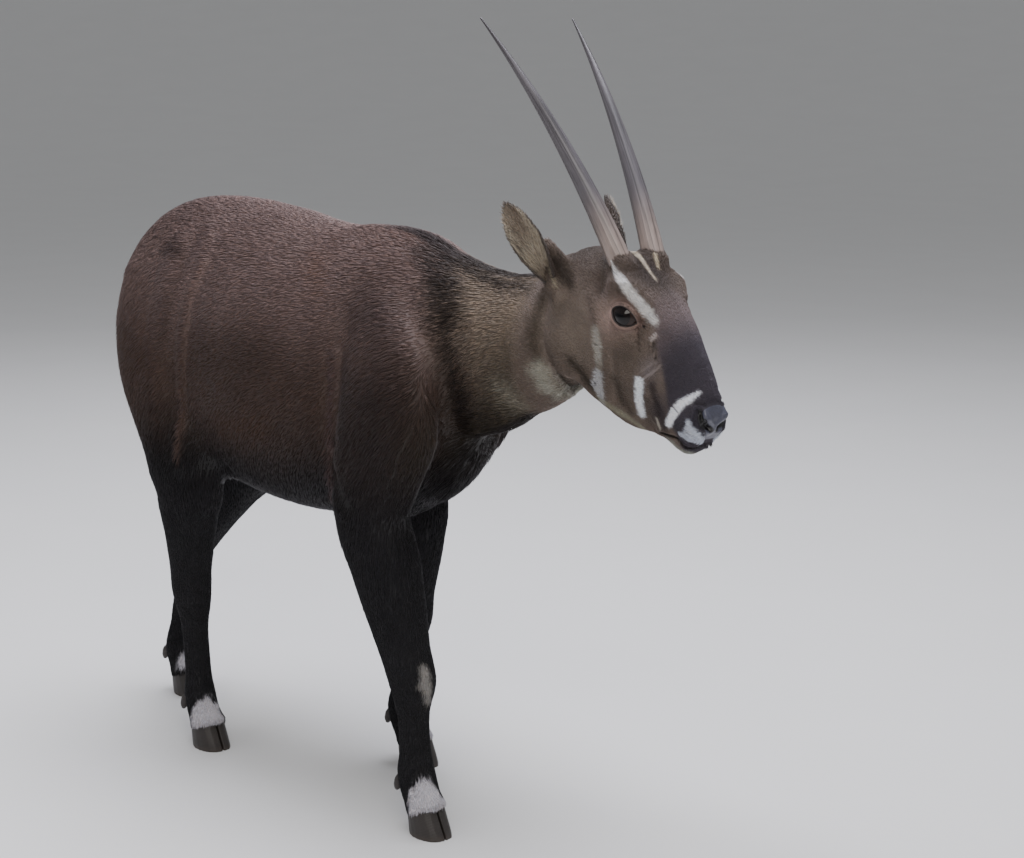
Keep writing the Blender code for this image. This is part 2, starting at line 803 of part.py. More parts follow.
def tail_socket():
    """The room in the rump for the root of the tail."""
    return tube("tail_socket", tail_rows(GAP)[:TAIL_SOCKET_ROWS], steps=2, count=12)


def main():
    for each in list(bpy.data.objects):
        bpy.data.objects.remove(each, do_unlink=True)

    flesh = fuse(body_pieces() + head_pieces())
    nodes = part_flesh(flesh)
    discard([flesh])

    head_cutters = [mouth_line()]
    for label, side in SIDES.items():
        head_cutters += [nostril(side), eye_opening(side), eye("socket", side, GAP)]
        head_cutters += [horn("socket", side, GAP), ear_root("socket", label, GAP)]
        nodes["eye_" + label] = eye("eye_" + label, side, look="eye")
        nodes["horn_" + label] = horn("horn_" + label, side, look="horn")
        nodes["ear_" + label] = ear("ear_" + label, label)
    for cutter in head_cutters:
        boolean(nodes["head"], [cutter], "DIFFERENCE")

    nodes["tail"] = tail("tail")
    boolean(nodes["torso"], [tail_socket()], "DIFFERENCE")

    for leg, (joints, _) in LEGS.items():
        for label, side in SIDES.items():
            name = f"claw_{leg}_{label}"
            nodes[name] = claw(name, joints, side)
            name = f"dewclaw_{leg}_{label}"
            nodes[name] = dewclaw(name, joints, side, look="hoof")
            boolean(nodes["leg_" + leg], [dewclaw("socket", joints, side, GAP)], "DIFFERENCE")

    for node in nodes.values():
        node.location = -FLOOR_CENTRE


main()
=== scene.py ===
"""A life-size saola in its coat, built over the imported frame.

Metres, +Z up. The animal faces +X with its left side towards +Y, and the floor is
z = 0. The skin is grown from the frame's own flesh and sculpted, the coat is laid
on it tuft by tuft, and eyes, lids, horns, ears, nose, hooves and tail are pieces
of their own.
"""

import json
import math
from contextlib import contextmanager

import bmesh
import bpy
import numpy as np
from mathutils import Matrix, Vector
from mathutils.bvhtree import BVHTree

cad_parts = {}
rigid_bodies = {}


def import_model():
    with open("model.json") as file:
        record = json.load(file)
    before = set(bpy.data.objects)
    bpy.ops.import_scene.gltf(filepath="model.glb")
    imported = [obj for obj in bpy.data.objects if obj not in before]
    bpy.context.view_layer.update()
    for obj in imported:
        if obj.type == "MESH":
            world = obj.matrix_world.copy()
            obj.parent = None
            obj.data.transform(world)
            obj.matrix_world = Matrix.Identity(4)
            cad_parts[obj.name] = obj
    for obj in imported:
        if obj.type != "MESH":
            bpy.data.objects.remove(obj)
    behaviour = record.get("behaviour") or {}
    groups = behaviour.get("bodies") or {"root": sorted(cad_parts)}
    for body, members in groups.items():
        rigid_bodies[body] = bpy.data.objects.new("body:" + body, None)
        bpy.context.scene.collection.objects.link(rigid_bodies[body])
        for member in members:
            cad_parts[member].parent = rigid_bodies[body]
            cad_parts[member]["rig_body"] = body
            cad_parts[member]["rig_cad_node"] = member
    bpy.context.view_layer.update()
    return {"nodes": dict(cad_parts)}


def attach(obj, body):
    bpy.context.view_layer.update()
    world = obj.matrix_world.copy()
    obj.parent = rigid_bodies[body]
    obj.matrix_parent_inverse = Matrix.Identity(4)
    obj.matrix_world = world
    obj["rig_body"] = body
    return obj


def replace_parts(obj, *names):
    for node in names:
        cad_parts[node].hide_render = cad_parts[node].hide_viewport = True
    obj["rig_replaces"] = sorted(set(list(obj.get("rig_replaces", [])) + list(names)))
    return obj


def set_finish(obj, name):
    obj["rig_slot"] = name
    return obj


bl_info = {
    "name": "Saola",
    "version": (1, 0, 0),
    "blender": (4, 5, 0),
    "location": "3D View > Sidebar > Saola",
    "description": "Dresses the packed saola with skin, coat, eyes, horns, ears, hooves and tail",
    "category": "Add Mesh",
}

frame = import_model()
BODY = "root"
SIDES = {"right": -1.0, "left": 1.0}
LEG_NAMES = ("fore_right", "fore_left", "hind_right", "hind_left")
FLESH = ("head", "neck", "torso") + tuple("leg_" + leg for leg in LEG_NAMES)
SEED = 20

# The photograph's camera: where it stands, how it is turned and tipped in degrees,
# and its focal length for an image of this size.
IMAGE_SIZE = (1024, 858)
CAMERA_FOCAL_PX = 2150.0
CAMERA_AZIMUTH = 52.0
CAMERA_DISTANCE = 3.3
CAMERA_HEIGHT = 1.105
CAMERA_TURN = -5.5
CAMERA_PITCH = 10.1
# The middle of the trunk, which the camera was set up round.
TRUNK_MIDDLE = Vector((-0.194, 0.0, 0.0))

# The head's own axes: x from poll to nose, y to the left, z out of the forehead.
POLL = Vector((0.391, 0.0, 0.835))
HEAD_DOWN = 33.0
HEAD_LEFT = -3.0
# The cut behind the head, by a low and a high point (x, z) in profile.
HEAD_PLANE = ((0.326, 0.620), (0.358, 0.860))

EYE_RADIUS = 0.0205
EYE_PLACE = (0.1534, 0.0365, 0.018)
EYE_AXIS = (0.24, 0.95, 0.14)
EYE_LONG_WAY = (1.0, 0.0, 0.25)
HORN_PLACE = (0.089, 0.032, 0.067)
HORN_RISE = 21.6
HORN_SPREAD = 7.7
HORN_BOW = 0.0137
EAR_PLACE = (0.036, 0.053, -0.020)
EAR_TIP_WAYS = {"right": (-0.733, -0.430, 0.526), "left": (-0.852, 0.285, 0.438)}
EAR_OPENING_WAY = (0.450, 0.800, 0.250)
EAR_START = 0.010
# The hoof's upper rim rises forwards by this slope.
CORONET_SLOPE = 0.48
# The muscle and gristle at the front of the ear's root: centres in the ear's own axes,
# with y to the front, and radii.
EAR_BASE = (
    ((-0.004, 0.0120, 0.006), 0.0170),
    ((-0.002, 0.0165, 0.020), 0.0150),
    ((0.000, 0.0190, 0.033), 0.0120),
    ((0.001, 0.0200, 0.044), 0.0095),
    ((0.001, 0.0200, 0.053), 0.0075),
)
# The ear from root to tip: share of its length, share of its half width, and the
# half angle in radians through which it is rolled about its own length.
EAR = (
    (0.00, 0.90, 2.50),
    (0.15, 1.00, 2.00),
    (0.35, 1.00, 1.35),
    (0.55, 0.96, 1.00),
    (0.75, 0.76, 0.80),
    (0.90, 0.42, 0.62),
    (1.00, 0.05, 0.45),
)
# The tail, from inside the rump to its end: centre, then half width and half depth
# as shares of its radius.
TAIL = (
    (-0.530, 0.786, 0.80, 0.80),
    (-0.572, 0.792, 0.95, 0.95),
    (-0.606, 0.765, 0.90, 0.85),
    (-0.612, 0.715, 0.78, 0.66),
    (-0.604, 0.660, 0.72, 0.58),
    (-0.597, 0.610, 0.60, 0.48),
    (-0.594, 0.585, 0.30, 0.25),
)

# The middle of each foot at its coronet.
FEET = {
    "fore_right": (0.204, -0.112),
    "fore_left": (-0.040, 0.079),
    "hind_right": (-0.332, -0.107),
    "hind_left": (-0.594, 0.037),
}
FAR_KNEE = (-0.030, 0.080, 0.215)

# Balls that close the sockets and fill out the muzzle and the coronets before the skin
# is grown. The horn's and the ear's are in their own axes, the others in the head's,
# and a coronet's is measured from the middle of its foot.
PEDICLE_PLACE = (0.0, 0.0, -0.013)
PEDICLE_RADII = (0.0158, 0.0155, 0.0325)
EAR_SOCKET_RADII = (0.0165, 0.0165, 0.0245)
NOSTRIL_PLACE = (0.321, 0.0180, -0.017)
NOSTRIL_RADII = (0.008, 0.007, 0.006)
LIP_PLACES = (
    (0.276, 0.0245, -0.072),
    (0.295, 0.0243, -0.069),
    (0.311, 0.0215, -0.0655),
    (0.322, 0.0140, -0.062),
    (0.326, 0.0050, -0.060),
)
LIP_RADII = (0.006, 0.005, 0.005)
CORONET_FORWARD = 0.0025
CORONET_HEIGHT = 0.0380
CORONET_RADII = (0.0310, 0.0285, 0.0110)

MERGE = 1e-5
MM = 0.001
UNWRAP_ANGLE = 66
UNWRAP_MARGIN = 0.002
# Farther than any gap that is measured.
FAR_AWAY = 1.0
# The floor is flat out to here, and then sweeps up into a wall on this bend, by
# steps of so many degrees up to the last.
SWEEP_START = 12.0
SWEEP_BEND = 30.0
SWEEP_STEP = 4.0
SWEEP_END = 45.0


def linear(colour):
    """An sRGB hex colour as linear red, green and blue."""
    out = []
    for k in (1, 3, 5):
        value = int(colour[k : k + 2], 16) / 255
        out.append(value / 12.92 if value <= 0.04045 else ((value + 0.055) / 1.055) ** 2.4)
    return tuple(out)


def length_prop(name, description, default):
    return bpy.props.FloatProperty(
        name=name, description=description, default=default, min=-0.02, precision=4,
        subtype="DISTANCE", unit="LENGTH",
    )


def colour_prop(name, description, default):
    return bpy.props.FloatVectorProperty(
        name=name, description=description, default=linear(default), min=0.0, max=1.0,
        size=3, subtype="COLOR",
    )


class SaolaSkinSettings(bpy.types.PropertyGroup):
    """How the skin is grown from the frame's flesh."""

    voxel: length_prop("Voxel", "Grain of the surface that joins the flesh", 0.0069)
    body_depth: length_prop("Coat depth on the body", "How far the skin lies under the coat", 0.0040)
    leg_depth: length_prop("Coat depth on the legs", "How far the skin lies under the coat", -0.0010)
    head_depth: length_prop("Coat depth on the head", "How far the skin lies under the coat", 0.0014)


class SaolaCoatSettings(bpy.types.PropertyGroup):
    """Lengths and colours of the hair."""

    body_length: length_prop("Body hair", "Length of a tuft on the flank", 0.021)
    neck_length: length_prop("Neck hair", "Length of a tuft on the neck", 0.021)
    crest_length: length_prop("Crest hair", "Length of a tuft along the nape", 0.030)
    leg_length: length_prop("Leg hair", "Length of a tuft on the lower leg", 0.0085)
    face_length: length_prop("Face hair", "Length of a tuft on the face", 0.0062)
    cover: bpy.props.FloatProperty(
        name="Cover", description="How many tufts lie over each point", default=1.5, min=0.1
    )
    # The back's colour is partly the coat's own russet and partly painted light: the top of the trunk is
    # painted lighter where the light from above falls.
    back: colour_prop("Back", "Russet brown of the back and croup", "#73605b")
    body: colour_prop("Body", "Dark brown of the flanks", "#4b3c35")
    # The belly's colour is partly the coat's own darker underside and partly painted shade under the
    # trunk.
    belly: colour_prop("Belly", "Black-brown of the belly and chest", "#110f0c")
    leg: colour_prop("Legs", "Near-black brown of the legs", "#222123")
    neck: colour_prop("Neck", "Grey-brown of the neck", "#7f7163")
    face: colour_prop("Face", "Brown of the cheeks", "#70635a")
    bridge: colour_prop("Bridge", "Dark grey-brown of the nose's bridge", "#403b42")


class SaolaEyeSettings(bpy.types.PropertyGroup):
    """The eyes and their lids."""

    radius: length_prop("Radius", "Radius of the eyeball", EYE_RADIUS)
    iris: colour_prop("Iris", "Dark brown of the iris", "#120c0b")
    pupil: colour_prop("Pupil", "Black of the pupil", "#040406")
    lid: colour_prop("Lid", "Dark bare edge of the lids", "#1e1a1b")


class SaolaHornSettings(bpy.types.PropertyGroup):
    """The horns."""

    length: length_prop("Length", "Length of a horn from the skull", 0.370)
    radius: length_prop("Radius", "Radius of a horn at the skull", 0.0155)
    root: colour_prop("Root", "Brown of the horn near the skull", "#95867f")
    shaft: colour_prop("Shaft", "Grey of the horn's length", "#5b575b")
    tip: colour_prop("Tip", "Dark grey of the tip", "#3d393c")


class SaolaEarSettings(bpy.types.PropertyGroup):
    """The ears."""

    length: length_prop("Length", "Length of an ear from its root", 0.114)
    half_width: length_prop("Half width", "Half the width of an ear", 0.0255)
    thickness: length_prop("Thickness", "Thickness of the ear's leaf", 0.0024)
    inside: colour_prop("Inside", "Pale hair inside the ear", "#a79c8b")
    outside: colour_prop("Outside", "Brown of the ear's back", "#453a33")


class SaolaHoofSettings(bpy.types.PropertyGroup):
    """The hooves."""

    ring: length_prop("Ring spacing", "Distance between the growth rings", 0.0042)
    ring_height: length_prop("Ring height", "How far a growth ring stands out", 0.00012)
    horn: colour_prop("Horn", "Dark grey-brown of the claws", "#2f2a27")


class SaolaTailSettings(bpy.types.PropertyGroup):
    """The tail."""

    radius: length_prop("Radius", "Half the width of the tail near its root", 0.018)
    brown: colour_prop("Brown", "Brown of the tail's upper part", "#4d3c36")
    cream: colour_prop("Cream", "Cream of the band over the tuft", "#9d9284")
    black: colour_prop("Black", "Black of the tuft", "#1a1717")


class SaolaStageSettings(bpy.types.PropertyGroup):
    """The floor and the light."""

    floor: colour_prop("Floor", "Pale floor", "#dcdbd9")
    sky: colour_prop("Surroundings", "Colour of the surrounding light", "#e6e8ec")


def settings(name):
    return getattr(bpy.context.scene, "saola_" + name)


def select_only(*objects):
    bpy.ops.object.select_all(action="DESELECT")
    for each in objects:
        each.select_set(True)
    bpy.context.view_layer.objects.active = objects[0]


def modify(obj, kind, **values):
    """Adds a modifier with these settings and applies it."""
    select_only(obj)
    modifier = obj.modifiers.new(kind.lower(), kind)
    for key, value in values.items():
        setattr(modifier, key, value)
    bpy.ops.object.modifier_apply(modifier=modifier.name)


def finished(obj, slot, *nodes):
    """Rides the piece on the body, and says its slot and the nodes it stands for."""
    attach(obj, BODY)
    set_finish(obj, slot)
    if nodes:
        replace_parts(obj, *nodes)


def read(items, key, width, kind=np.float32):
    """One value of every item, in rows of this width."""
    flat = np.empty(len(items) * width, kind)
    items.foreach_get(key, flat)
    return flat.reshape(-1, width)


def points_of(obj):
    return read(obj.data.vertices, "co", 3).astype(float)


def normals_of(obj):
    return read(obj.data.vertices, "normal", 3).astype(float)


def edges_of(obj):
    return read(obj.data.edges, "vertices", 2, np.int64)


def corners_of(obj):
    """The point at each corner of the faces, and where the corners of each face start."""
    points = read(obj.data.loops, "vertex_index", 1, np.int64)
    return points[:, 0], read(obj.data.polygons, "loop_start", 1, np.int64)[:, 0]


def set_points(obj, points):
    obj.data.vertices.foreach_set("co", points.astype(np.float32).ravel())
    obj.data.update()


def paint(obj, colours):
    """Stores a linear colour for each point, in the attribute that the materials read."""
    layer = obj.data.color_attributes.new("Coat", "FLOAT_COLOR", "POINT")
    rgba = np.ones((len(colours), 4), np.float32)
    rgba[:, :3] = colours
    layer.data.foreach_set("color", rgba.ravel())


def plain(colour, points):
    """The same colour for every point."""
    return np.tile(np.array(colour), (len(points), 1))


def tinted(colour, weight, new):
    """Colours drawn to a new one, hex or linear, by each point's weight."""
    weight = weight[:, None]
    new = linear(new) if isinstance(new, str) else new
    return colour * (1.0 - weight) + np.array(new) * weight


def smooth_shaded(obj):
    obj.data.polygons.foreach_set("use_smooth", np.ones(len(obj.data.polygons), bool))
    obj.data.update()


@contextmanager
def opened(obj):
    """The object's mesh as a bmesh, which is written back at the end."""
    bm = bmesh.new()
    bm.from_mesh(obj.data)
    yield bm
    bm.to_mesh(obj.data)
    bm.free()


def begin_edit(obj):
    """Edit Mode on this object alone, with all of it selected."""
    select_only(obj)
    bpy.ops.object.mode_set(mode="EDIT")
    bpy.ops.mesh.select_all(action="SELECT")


def end_edit():
    bpy.ops.object.mode_set(mode="OBJECT")


def unwrap(obj):
    begin_edit(obj)
    bpy.ops.uv.smart_project(angle_limit=math.radians(UNWRAP_ANGLE), island_margin=UNWRAP_MARGIN)
    end_edit()


def without_keys(obj, *keys):
    for key in keys:
        if key in obj:
            del obj[key]


def sphere_of(radius, segments, rings):
    """A ball at the origin with its poles on z."""
    bpy.ops.object.select_all(action="DESELECT")
    bpy.ops.mesh.primitive_uv_sphere_add(segments=segments, ring_count=rings, radius=radius)
    return bpy.context.object


def ease(low, high, value):
    """0 below low, 1 above high, and a smooth rise between."""
    share = np.clip((value - low) / (high - low), 0.0, 1.0)
    return share * share * (3.0 - 2.0 * share)


# Whole numbers that scramble a cell's place and the seed into its value.
SCRAMBLE = np.array((73856093, 19349663, 83492791))
SEED_SCRAMBLE = 7919
MIXER = 1274126177
SIXTEEN_BITS = 0xFFFF
CELLS_START, CELLS_SHIFT = 64.0, 11.3


def ripple(points, size, seed):
    """Smooth noise from -1 to 1 with lumps of this size."""
    cells = points / size + CELLS_START + CELLS_SHIFT * seed
    base = np.floor(cells).astype(np.int64)
    part = cells - base
    part = part * part * (3.0 - 2.0 * part)
    total = np.zeros(len(points))
    for corner in range(8):
        step = np.array((corner & 1, corner >> 1 & 1, corner >> 2 & 1))
        key = ((base + step) * SCRAMBLE).sum(axis=1) + seed * SEED_SCRAMBLE
        key = (key ^ (key >> 13)) * MIXER
        value = ((key ^ (key >> 16)) & SIXTEEN_BITS) / (SIXTEEN_BITS / 2) - 1.0
        total += value * np.prod(np.where(step, part, 1.0 - part), axis=1)
    return total


def unit(vectors):
    return vectors / np.maximum(np.linalg.norm(vectors, axis=-1, keepdims=True), 1e-9)


def axes(x_way, z_way):
    """A turn whose z is z_way and whose x is x_way, made square to it."""
    z = Vector(z_way).normalized()
    x = Vector(x_way)
    x = (x - z * x.dot(z)).normalized()
    return Matrix((x, z.cross(x), z)).transposed().to_4x4()


def on_head():
    """From the head's own axes to the row frame."""
    left = Matrix.Rotation(math.radians(HEAD_LEFT), 4, "Z")
    down = Matrix.Rotation(math.radians(HEAD_DOWN), 4, "Y")
    return Matrix.Translation(POLL) @ left @ down


def sided(point, side):
    """A point or a way given for the left side, on the side asked for."""
    return Vector((point[0], point[1] * side, point[2]))


def through(matrix, points):
    """Points carried by a matrix."""
    made = np.array(matrix)
    return points @ made[:3, :3].T + made[:3, 3]


def to_head(points):
    return through(on_head().inverted(), points)


def eye_frame(side):
    """The eyeball's centre, with z out of the opening and x along its length."""
    turn = axes(EYE_LONG_WAY, sided(EYE_AXIS, side))
    return on_head() @ Matrix.Translation(sided(EYE_PLACE, side)) @ turn


def horn_ways(side):
    """The way to the horn's tip and the way in which it bows, in the head's axes."""
    rise, spread = math.radians(HORN_RISE), math.radians(HORN_SPREAD)
    way = Vector((-math.cos(rise) * math.cos(spread), side * math.sin(spread),
                  math.sin(rise) * math.cos(spread)))
    return way, Vector((0.0, 1.0, 0.0)).cross(way)


def horn_frame(side):
    """The horn's root, with z to its tip and x along its bow."""
    way, bow = horn_ways(side)
    return on_head() @ Matrix.Translation(sided(HORN_PLACE, side)) @ axes(bow, way)


def ear_frame(label):
    """The ear's root, with z to its tip and x out of its opening."""
    side = SIDES[label]
    turn = axes(sided(EAR_OPENING_WAY, side), EAR_TIP_WAYS[label])
    return on_head() @ Matrix.Translation(sided(EAR_PLACE, side)) @ turn


def camera_place():
    azimuth = math.radians(CAMERA_AZIMUTH)
    reach = Vector((math.sin(azimuth), -math.cos(azimuth), 0.0)) * CAMERA_DISTANCE
    return TRUNK_MIDDLE + reach + Vector((0.0, 0.0, CAMERA_HEIGHT))


def camera_axes():
    """The camera's right, up and forward ways."""
    yaw = math.radians(CAMERA_AZIMUTH + CAMERA_TURN)
    pitch = math.radians(CAMERA_PITCH)
    forward = Vector(
        (-math.sin(yaw) * math.cos(pitch), math.cos(yaw) * math.cos(pitch), -math.sin(pitch))
    )
    right = Vector((math.cos(yaw), math.sin(yaw), 0.0))
    return right, right.cross(forward), forward


def pixel_ray(pixel):
    """The way from the camera through a pixel of the photograph."""
    right, up, forward = camera_axes()
    u = (pixel[0] - IMAGE_SIZE[0] / 2) / CAMERA_FOCAL_PX
    v = (IMAGE_SIZE[1] / 2 - pixel[1]) / CAMERA_FOCAL_PX
    return (forward + right * u + up * v).normalized()


def denser(rows, step):
    """Rows of numbers with straight steps between them, no longer than step in x and y."""
    out = [np.array(rows[0], float)]
    for first, second in zip(rows, rows[1:]):
        first, second = np.array(first, float), np.array(second, float)
        count = max(1, math.ceil(np.linalg.norm(second[:2] - first[:2]) / step))
        for k in range(1, count + 1):
            out.append(first + (second - first) * k / count)
    return np.array(out)


def cast(surface, rows, step=2.0):
    """Where a line of the photograph's pixels falls on a surface, or where it passes
    closest to it. What follows the two numbers of each pixel is carried along."""
    hits = []
    for row in denser(rows, step):
        way = pixel_ray(row)
        place, _, _, _ = surface.ray_cast(camera_place(), way)
        if place is None:
            reach = (POLL - camera_place()).dot(way)
            for _ in range(6):
                place = surface.find_nearest(camera_place() + way * reach)[0]
                reach = (place - camera_place()).dot(way)
        hits.append((*place, *row[2:]))
    return np.array(hits)


def mirrored(surface, rows, head=True):
    """The same line on the animal's other side, laid on the surface."""
    place = on_head() if head else Matrix.Identity(4)
    across = place @ Matrix.Diagonal((1.0, -1.0, 1.0, 1.0)) @ place.inverted()
    out = rows.copy()
    for k, point in enumerate(through(across, rows[:, :3])):
        out[k, :3] = surface.find_nearest(Vector(point))[0]
    return out


def line_distance(points, line):
    """Distance of each point to a line of 3-D points, and the line's fourth number at
    the nearest place on it."""
    nearest = np.full(len(points), FAR_AWAY)
    value = np.zeros(len(points))
    low, high = line[:, :3].min(0) - LINE_REACH, line[:, :3].max(0) + LINE_REACH
    near = np.nonzero(((points > low) & (points < high)).all(axis=1))[0]
    some = points[near]
    best, best_value = np.full(len(some), FAR_AWAY), np.zeros(len(some))
    for first, second in zip(line, line[1:]):
        along = second[:3] - first[:3]
        share = (some - first[:3]) @ along / max(along @ along, 1e-12)
        share = np.clip(share, 0.0, 1.0)
        gap = np.linalg.norm(some - first[:3] - share[:, None] * along, axis=1)
        closer = gap < best
        best[closer] = gap[closer]
        fourth = first[3] + (second[3] - first[3]) * share
        best_value[closer] = fourth[closer]
    nearest[near] = best
    value[near] = best_value
    return nearest, value


def put(tree, kind, inputs=None, **values):
    """Adds a node with its settings, its input values and its links."""
    node = tree.nodes.new(kind)
    for key, value in values.items():
        setattr(node, key, value)
    for key, value in (inputs or {}).items():
        if isinstance(value, tuple) and isinstance(value[0], bpy.types.Node):
            tree.links.new(value[0].outputs[value[1]], node.inputs[key])
        else:
            node.inputs[key].default_value = value
    return node


def new_material(name):
    """An empty material and its node tree."""
    made = bpy.data.materials.new(name)
    made.use_nodes = True
    made.node_tree.nodes.clear()
    return made, made.node_tree


def painted(tree):
    """The colour painted on the points."""
    return put(tree, "ShaderNodeAttribute", attribute_name="Coat"), "Color"


def object_places(tree):
    """The object's own places, in metres."""
    return put(tree, "ShaderNodeTexCoord"), "Object"


def stretched(tree, vector, scale):
    return put(tree, "ShaderNodeMapping", {"Vector": vector, "Scale": scale}), "Vector"


def noise(tree, vector, scale=1.0, detail=2.0, roughness=0.5):
    inputs = {"Vector": vector, "Scale": scale, "Detail": detail, "Roughness": roughness}
    return put(tree, "ShaderNodeTexNoise", inputs), "Fac"


def ranged(tree, value, low, high, start=0.0, end=1.0):
    """A value from start to end, brought to the range from low to high."""
    inputs = {"Value": value, "From Min": start, "From Max": end, "To Min": low, "To Max": high}
    return put(tree, "ShaderNodeMapRange", inputs), "Result"


def multiplied(tree, colour, tone):
    return put(tree, "ShaderNodeVectorMath", {0: colour, 1: tone}, operation="MULTIPLY"), "Vector"


def bumped(tree, height, strength, distance):
    inputs = {"Height": height, "Strength": strength, "Distance": distance}
    return put(tree, "ShaderNodeBump", inputs), "Normal"


def shade(tree, inputs):
    """Closes a material with a surface of these inputs."""
    shader = put(tree, "ShaderNodeBsdfPrincipled", inputs)
    put(tree, "ShaderNodeOutputMaterial", {"Surface": (shader, "BSDF")})


# Forms sculpted on the head, in its own axes: place of the left one, radii of its
# soft edge, and how far it stands out.
HEAD_DABS = (
    ("crown", (0.095, 0.0, 0.064), (0.020, 0.016, 0.016), 0.0038),
    ("cheekbone", (0.118, 0.056, -0.016), (0.034, 0.020, 0.010), 0.0022),
    ("jaw's lower edge", (0.222, 0.014, -0.106), (0.046, 0.022, 0.020), 0.0095),
    ("temple", (0.092, 0.056, 0.022), (0.020, 0.020, 0.016), -0.0035),
    ("brow", (0.152, 0.049, 0.046), (0.028, 0.020, 0.017), 0.0070),
    ("over the brow", (0.122, 0.040, 0.062), (0.022, 0.018, 0.016), 0.0035),
    ("under the jaw", (0.170, 0.020, -0.112), (0.060, 0.022, 0.022), 0.0080),
    ("wrinkle over the eye", (0.140, 0.056, 0.036), (0.020, 0.012, 0.004), -0.0012),
    ("hollow before the eye", (0.200, 0.038, -0.004), (0.022, 0.016, 0.014), -0.0030),
    ("bridge edge", (0.215, 0.022, 0.040), (0.040, 0.010, 0.010), 0.0012),
    ("chewing muscle", (0.072, 0.058, -0.080), (0.034, 0.022, 0.040), 0.0026),
    ("jaw bar", (0.190, 0.030, -0.100), (0.050, 0.014, 0.010), 0.0016),
    ("hollow over the jaw", (0.215, 0.036, -0.060), (0.030, 0.016, 0.016), -0.0022),
    ("nostril wing", (0.321, 0.018, -0.016), (0.011, 0.009, 0.008), 0.0012),
    ("upper lip", (0.306, 0.026, -0.044), (0.020, 0.012, 0.012), 0.0024),
    ("lower lip", (0.304, 0.018, -0.074), (0.020, 0.012, 0.006), 0.0014),
)

# Folds of the face, as lines of the photograph's pixels along the animal's right:
# the depth in metres, whether the left side has one too, then u, v and the fold's half
# width in pixels. A depth below zero stands out.
FACE_FOLDS = (
    ("tear line", 0.0018, True, ((640, 321, 1.2), (643, 325, 1.2), (647, 329, 1.0))),
    ("fold under the eye", 0.0010, True, ((639, 330, 1.2), (640, 340, 1.4), (641, 352, 1.2))),
    ("gland slit", 0.0030, True, ((654, 342, 1.8), (655, 352, 2.2), (657, 361, 1.8))),
    ("gland fold", -0.0016, True, ((641, 379, 1.8), (650, 373, 2.0), (660, 366, 1.6))),
    ("under the brow", 0.0014, True, ((622, 296, 2.0), (636, 306, 2.0), (650, 320, 1.6))),
    ("mouth", 0.0048, True,
     ((661, 432, 1.1), (668, 435, 1.3), (679, 438, 1.3), (684, 444, 1.3), (690, 448, 1.3),
      (702, 446, 1.2), (711, 442, 1.2))),
    ("corner of the mouth", 0.0014, True, ((655, 424, 1.8), (660, 432, 1.8), (664, 440, 1.6))),
    ("nostril", 0.0062, True, ((700, 412, 2.2), (701, 419, 3.4), (704, 425, 4.0), (710, 429, 2.6))),
    ("over the nostril", 0.0012, True, ((690, 404, 1.6), (697, 404, 1.8), (704, 404, 1.6))),
    ("lip crease", 0.0012, True, ((683, 428, 1.2), (690, 434, 1.3), (697, 439, 1.2))),
    ("stripe crease", 0.0008, True, ((671, 404, 1.0), (675, 409, 1.2), (679, 413, 1.0))),
    ("jaw angle", 0.0034, True,
     ((548, 296, 7.0), (543, 318, 9.0), (541, 342, 9.5), (547, 364, 9.0), (562, 382, 6.0),
      (580, 394, 4.0), (600, 404, 2.6))),
    ("before the ear", 0.0022, True, ((606, 258, 6.0), (604, 276, 7.0), (601, 292, 6.0))),
    ("hollow under the horn", 0.0016, True, ((626, 270, 5.0), (634, 284, 5.0), (642, 296, 5.0))),
    ("edge of the cheek", 0.0014, True, ((612, 356, 5.0), (614, 376, 6.0), (618, 398, 5.0))),
    ("above the mouth", 0.0018, True, ((650, 396, 4.0), (657, 408, 4.5), (664, 418, 3.5))),
)
# Creases of the trunk in the same way.
BODY_FOLDS = (
    ("thigh", 0.0045, True, ((192, 244, 14), (176, 285, 16), (168, 330, 16), (170, 370, 16),
                             (166, 415, 12), (164, 445, 10))),
    ("thigh's front edge", -0.0022, True, ((206, 262, 5), (188, 300, 6), (181, 335, 6),
                                           (182, 375, 6), (184, 415, 6), (178, 455, 5))),
    ("elbow fold", -0.0022, True, ((336, 352, 5), (334, 400, 6), (331, 450, 6), (331, 498, 5))),
    ("before the shoulder", 0.0050, True, ((452, 335, 24), (446, 400, 22), (452, 440, 14))),
    ("breast", 0.0045, False, ((467, 462, 9), (440, 484, 10), (414, 508, 9))),
    ("elbow", 0.0045, False, ((335, 452, 10), (338, 480, 10), (350, 502, 8))),
    ("behind the shoulder", 0.0040, True, ((338, 330, 26), (330, 390, 26), (332, 440, 18))),
    ("flank", 0.0040, True, ((176, 470, 9), (196, 462, 11), (222, 462, 10))),
)
# Muscles of the trunk and legs, in the row frame, in the way of the head's.
BODY_DABS = (
    ("shoulder", (0.085, 0.140, 0.600), (0.055, 0.060, 0.110), 0.0050),
    ("arm", (0.120, 0.125, 0.490), (0.050, 0.050, 0.045), 0.0035),
    ("hip bone", (-0.345, 0.100, 0.790), (0.040, 0.040, 0.028), 0.0035),
    ("thigh", (-0.430, 0.130, 0.620), (0.060, 0.060, 0.090), 0.0040),
    ("hollow of the flank", (-0.290, 0.140, 0.690), (0.045, 0.060, 0.050), -0.0045),
    ("belly side", (-0.150, 0.165, 0.560), (0.120, 0.060, 0.060), 0.0025),
    ("neck groove", (0.300, 0.070, 0.640), (0.060, 0.040, 0.022), -0.0040),
    ("root of the neck", (0.262, 0.0, 0.575), (0.050, 0.060, 0.044), 0.0045),
)

# The lines are laid on the skin by points no further apart than this, in pixels.
FACE_STEP = 2.0
BODY_STEP = 6.0
MARK_STEP = 1.0

# The opening between the lids in the eye's own x and y: its corners, how far it reaches
# up and down, how full its edges are, and how far its front corner hangs.
LID_REAR = -0.0158
LID_FRONT = 0.0186
LID_UP = 0.0122
LID_DOWN = 0.0106
LID_FULLNESS = 0.72
LID_LEAN = 0.0012
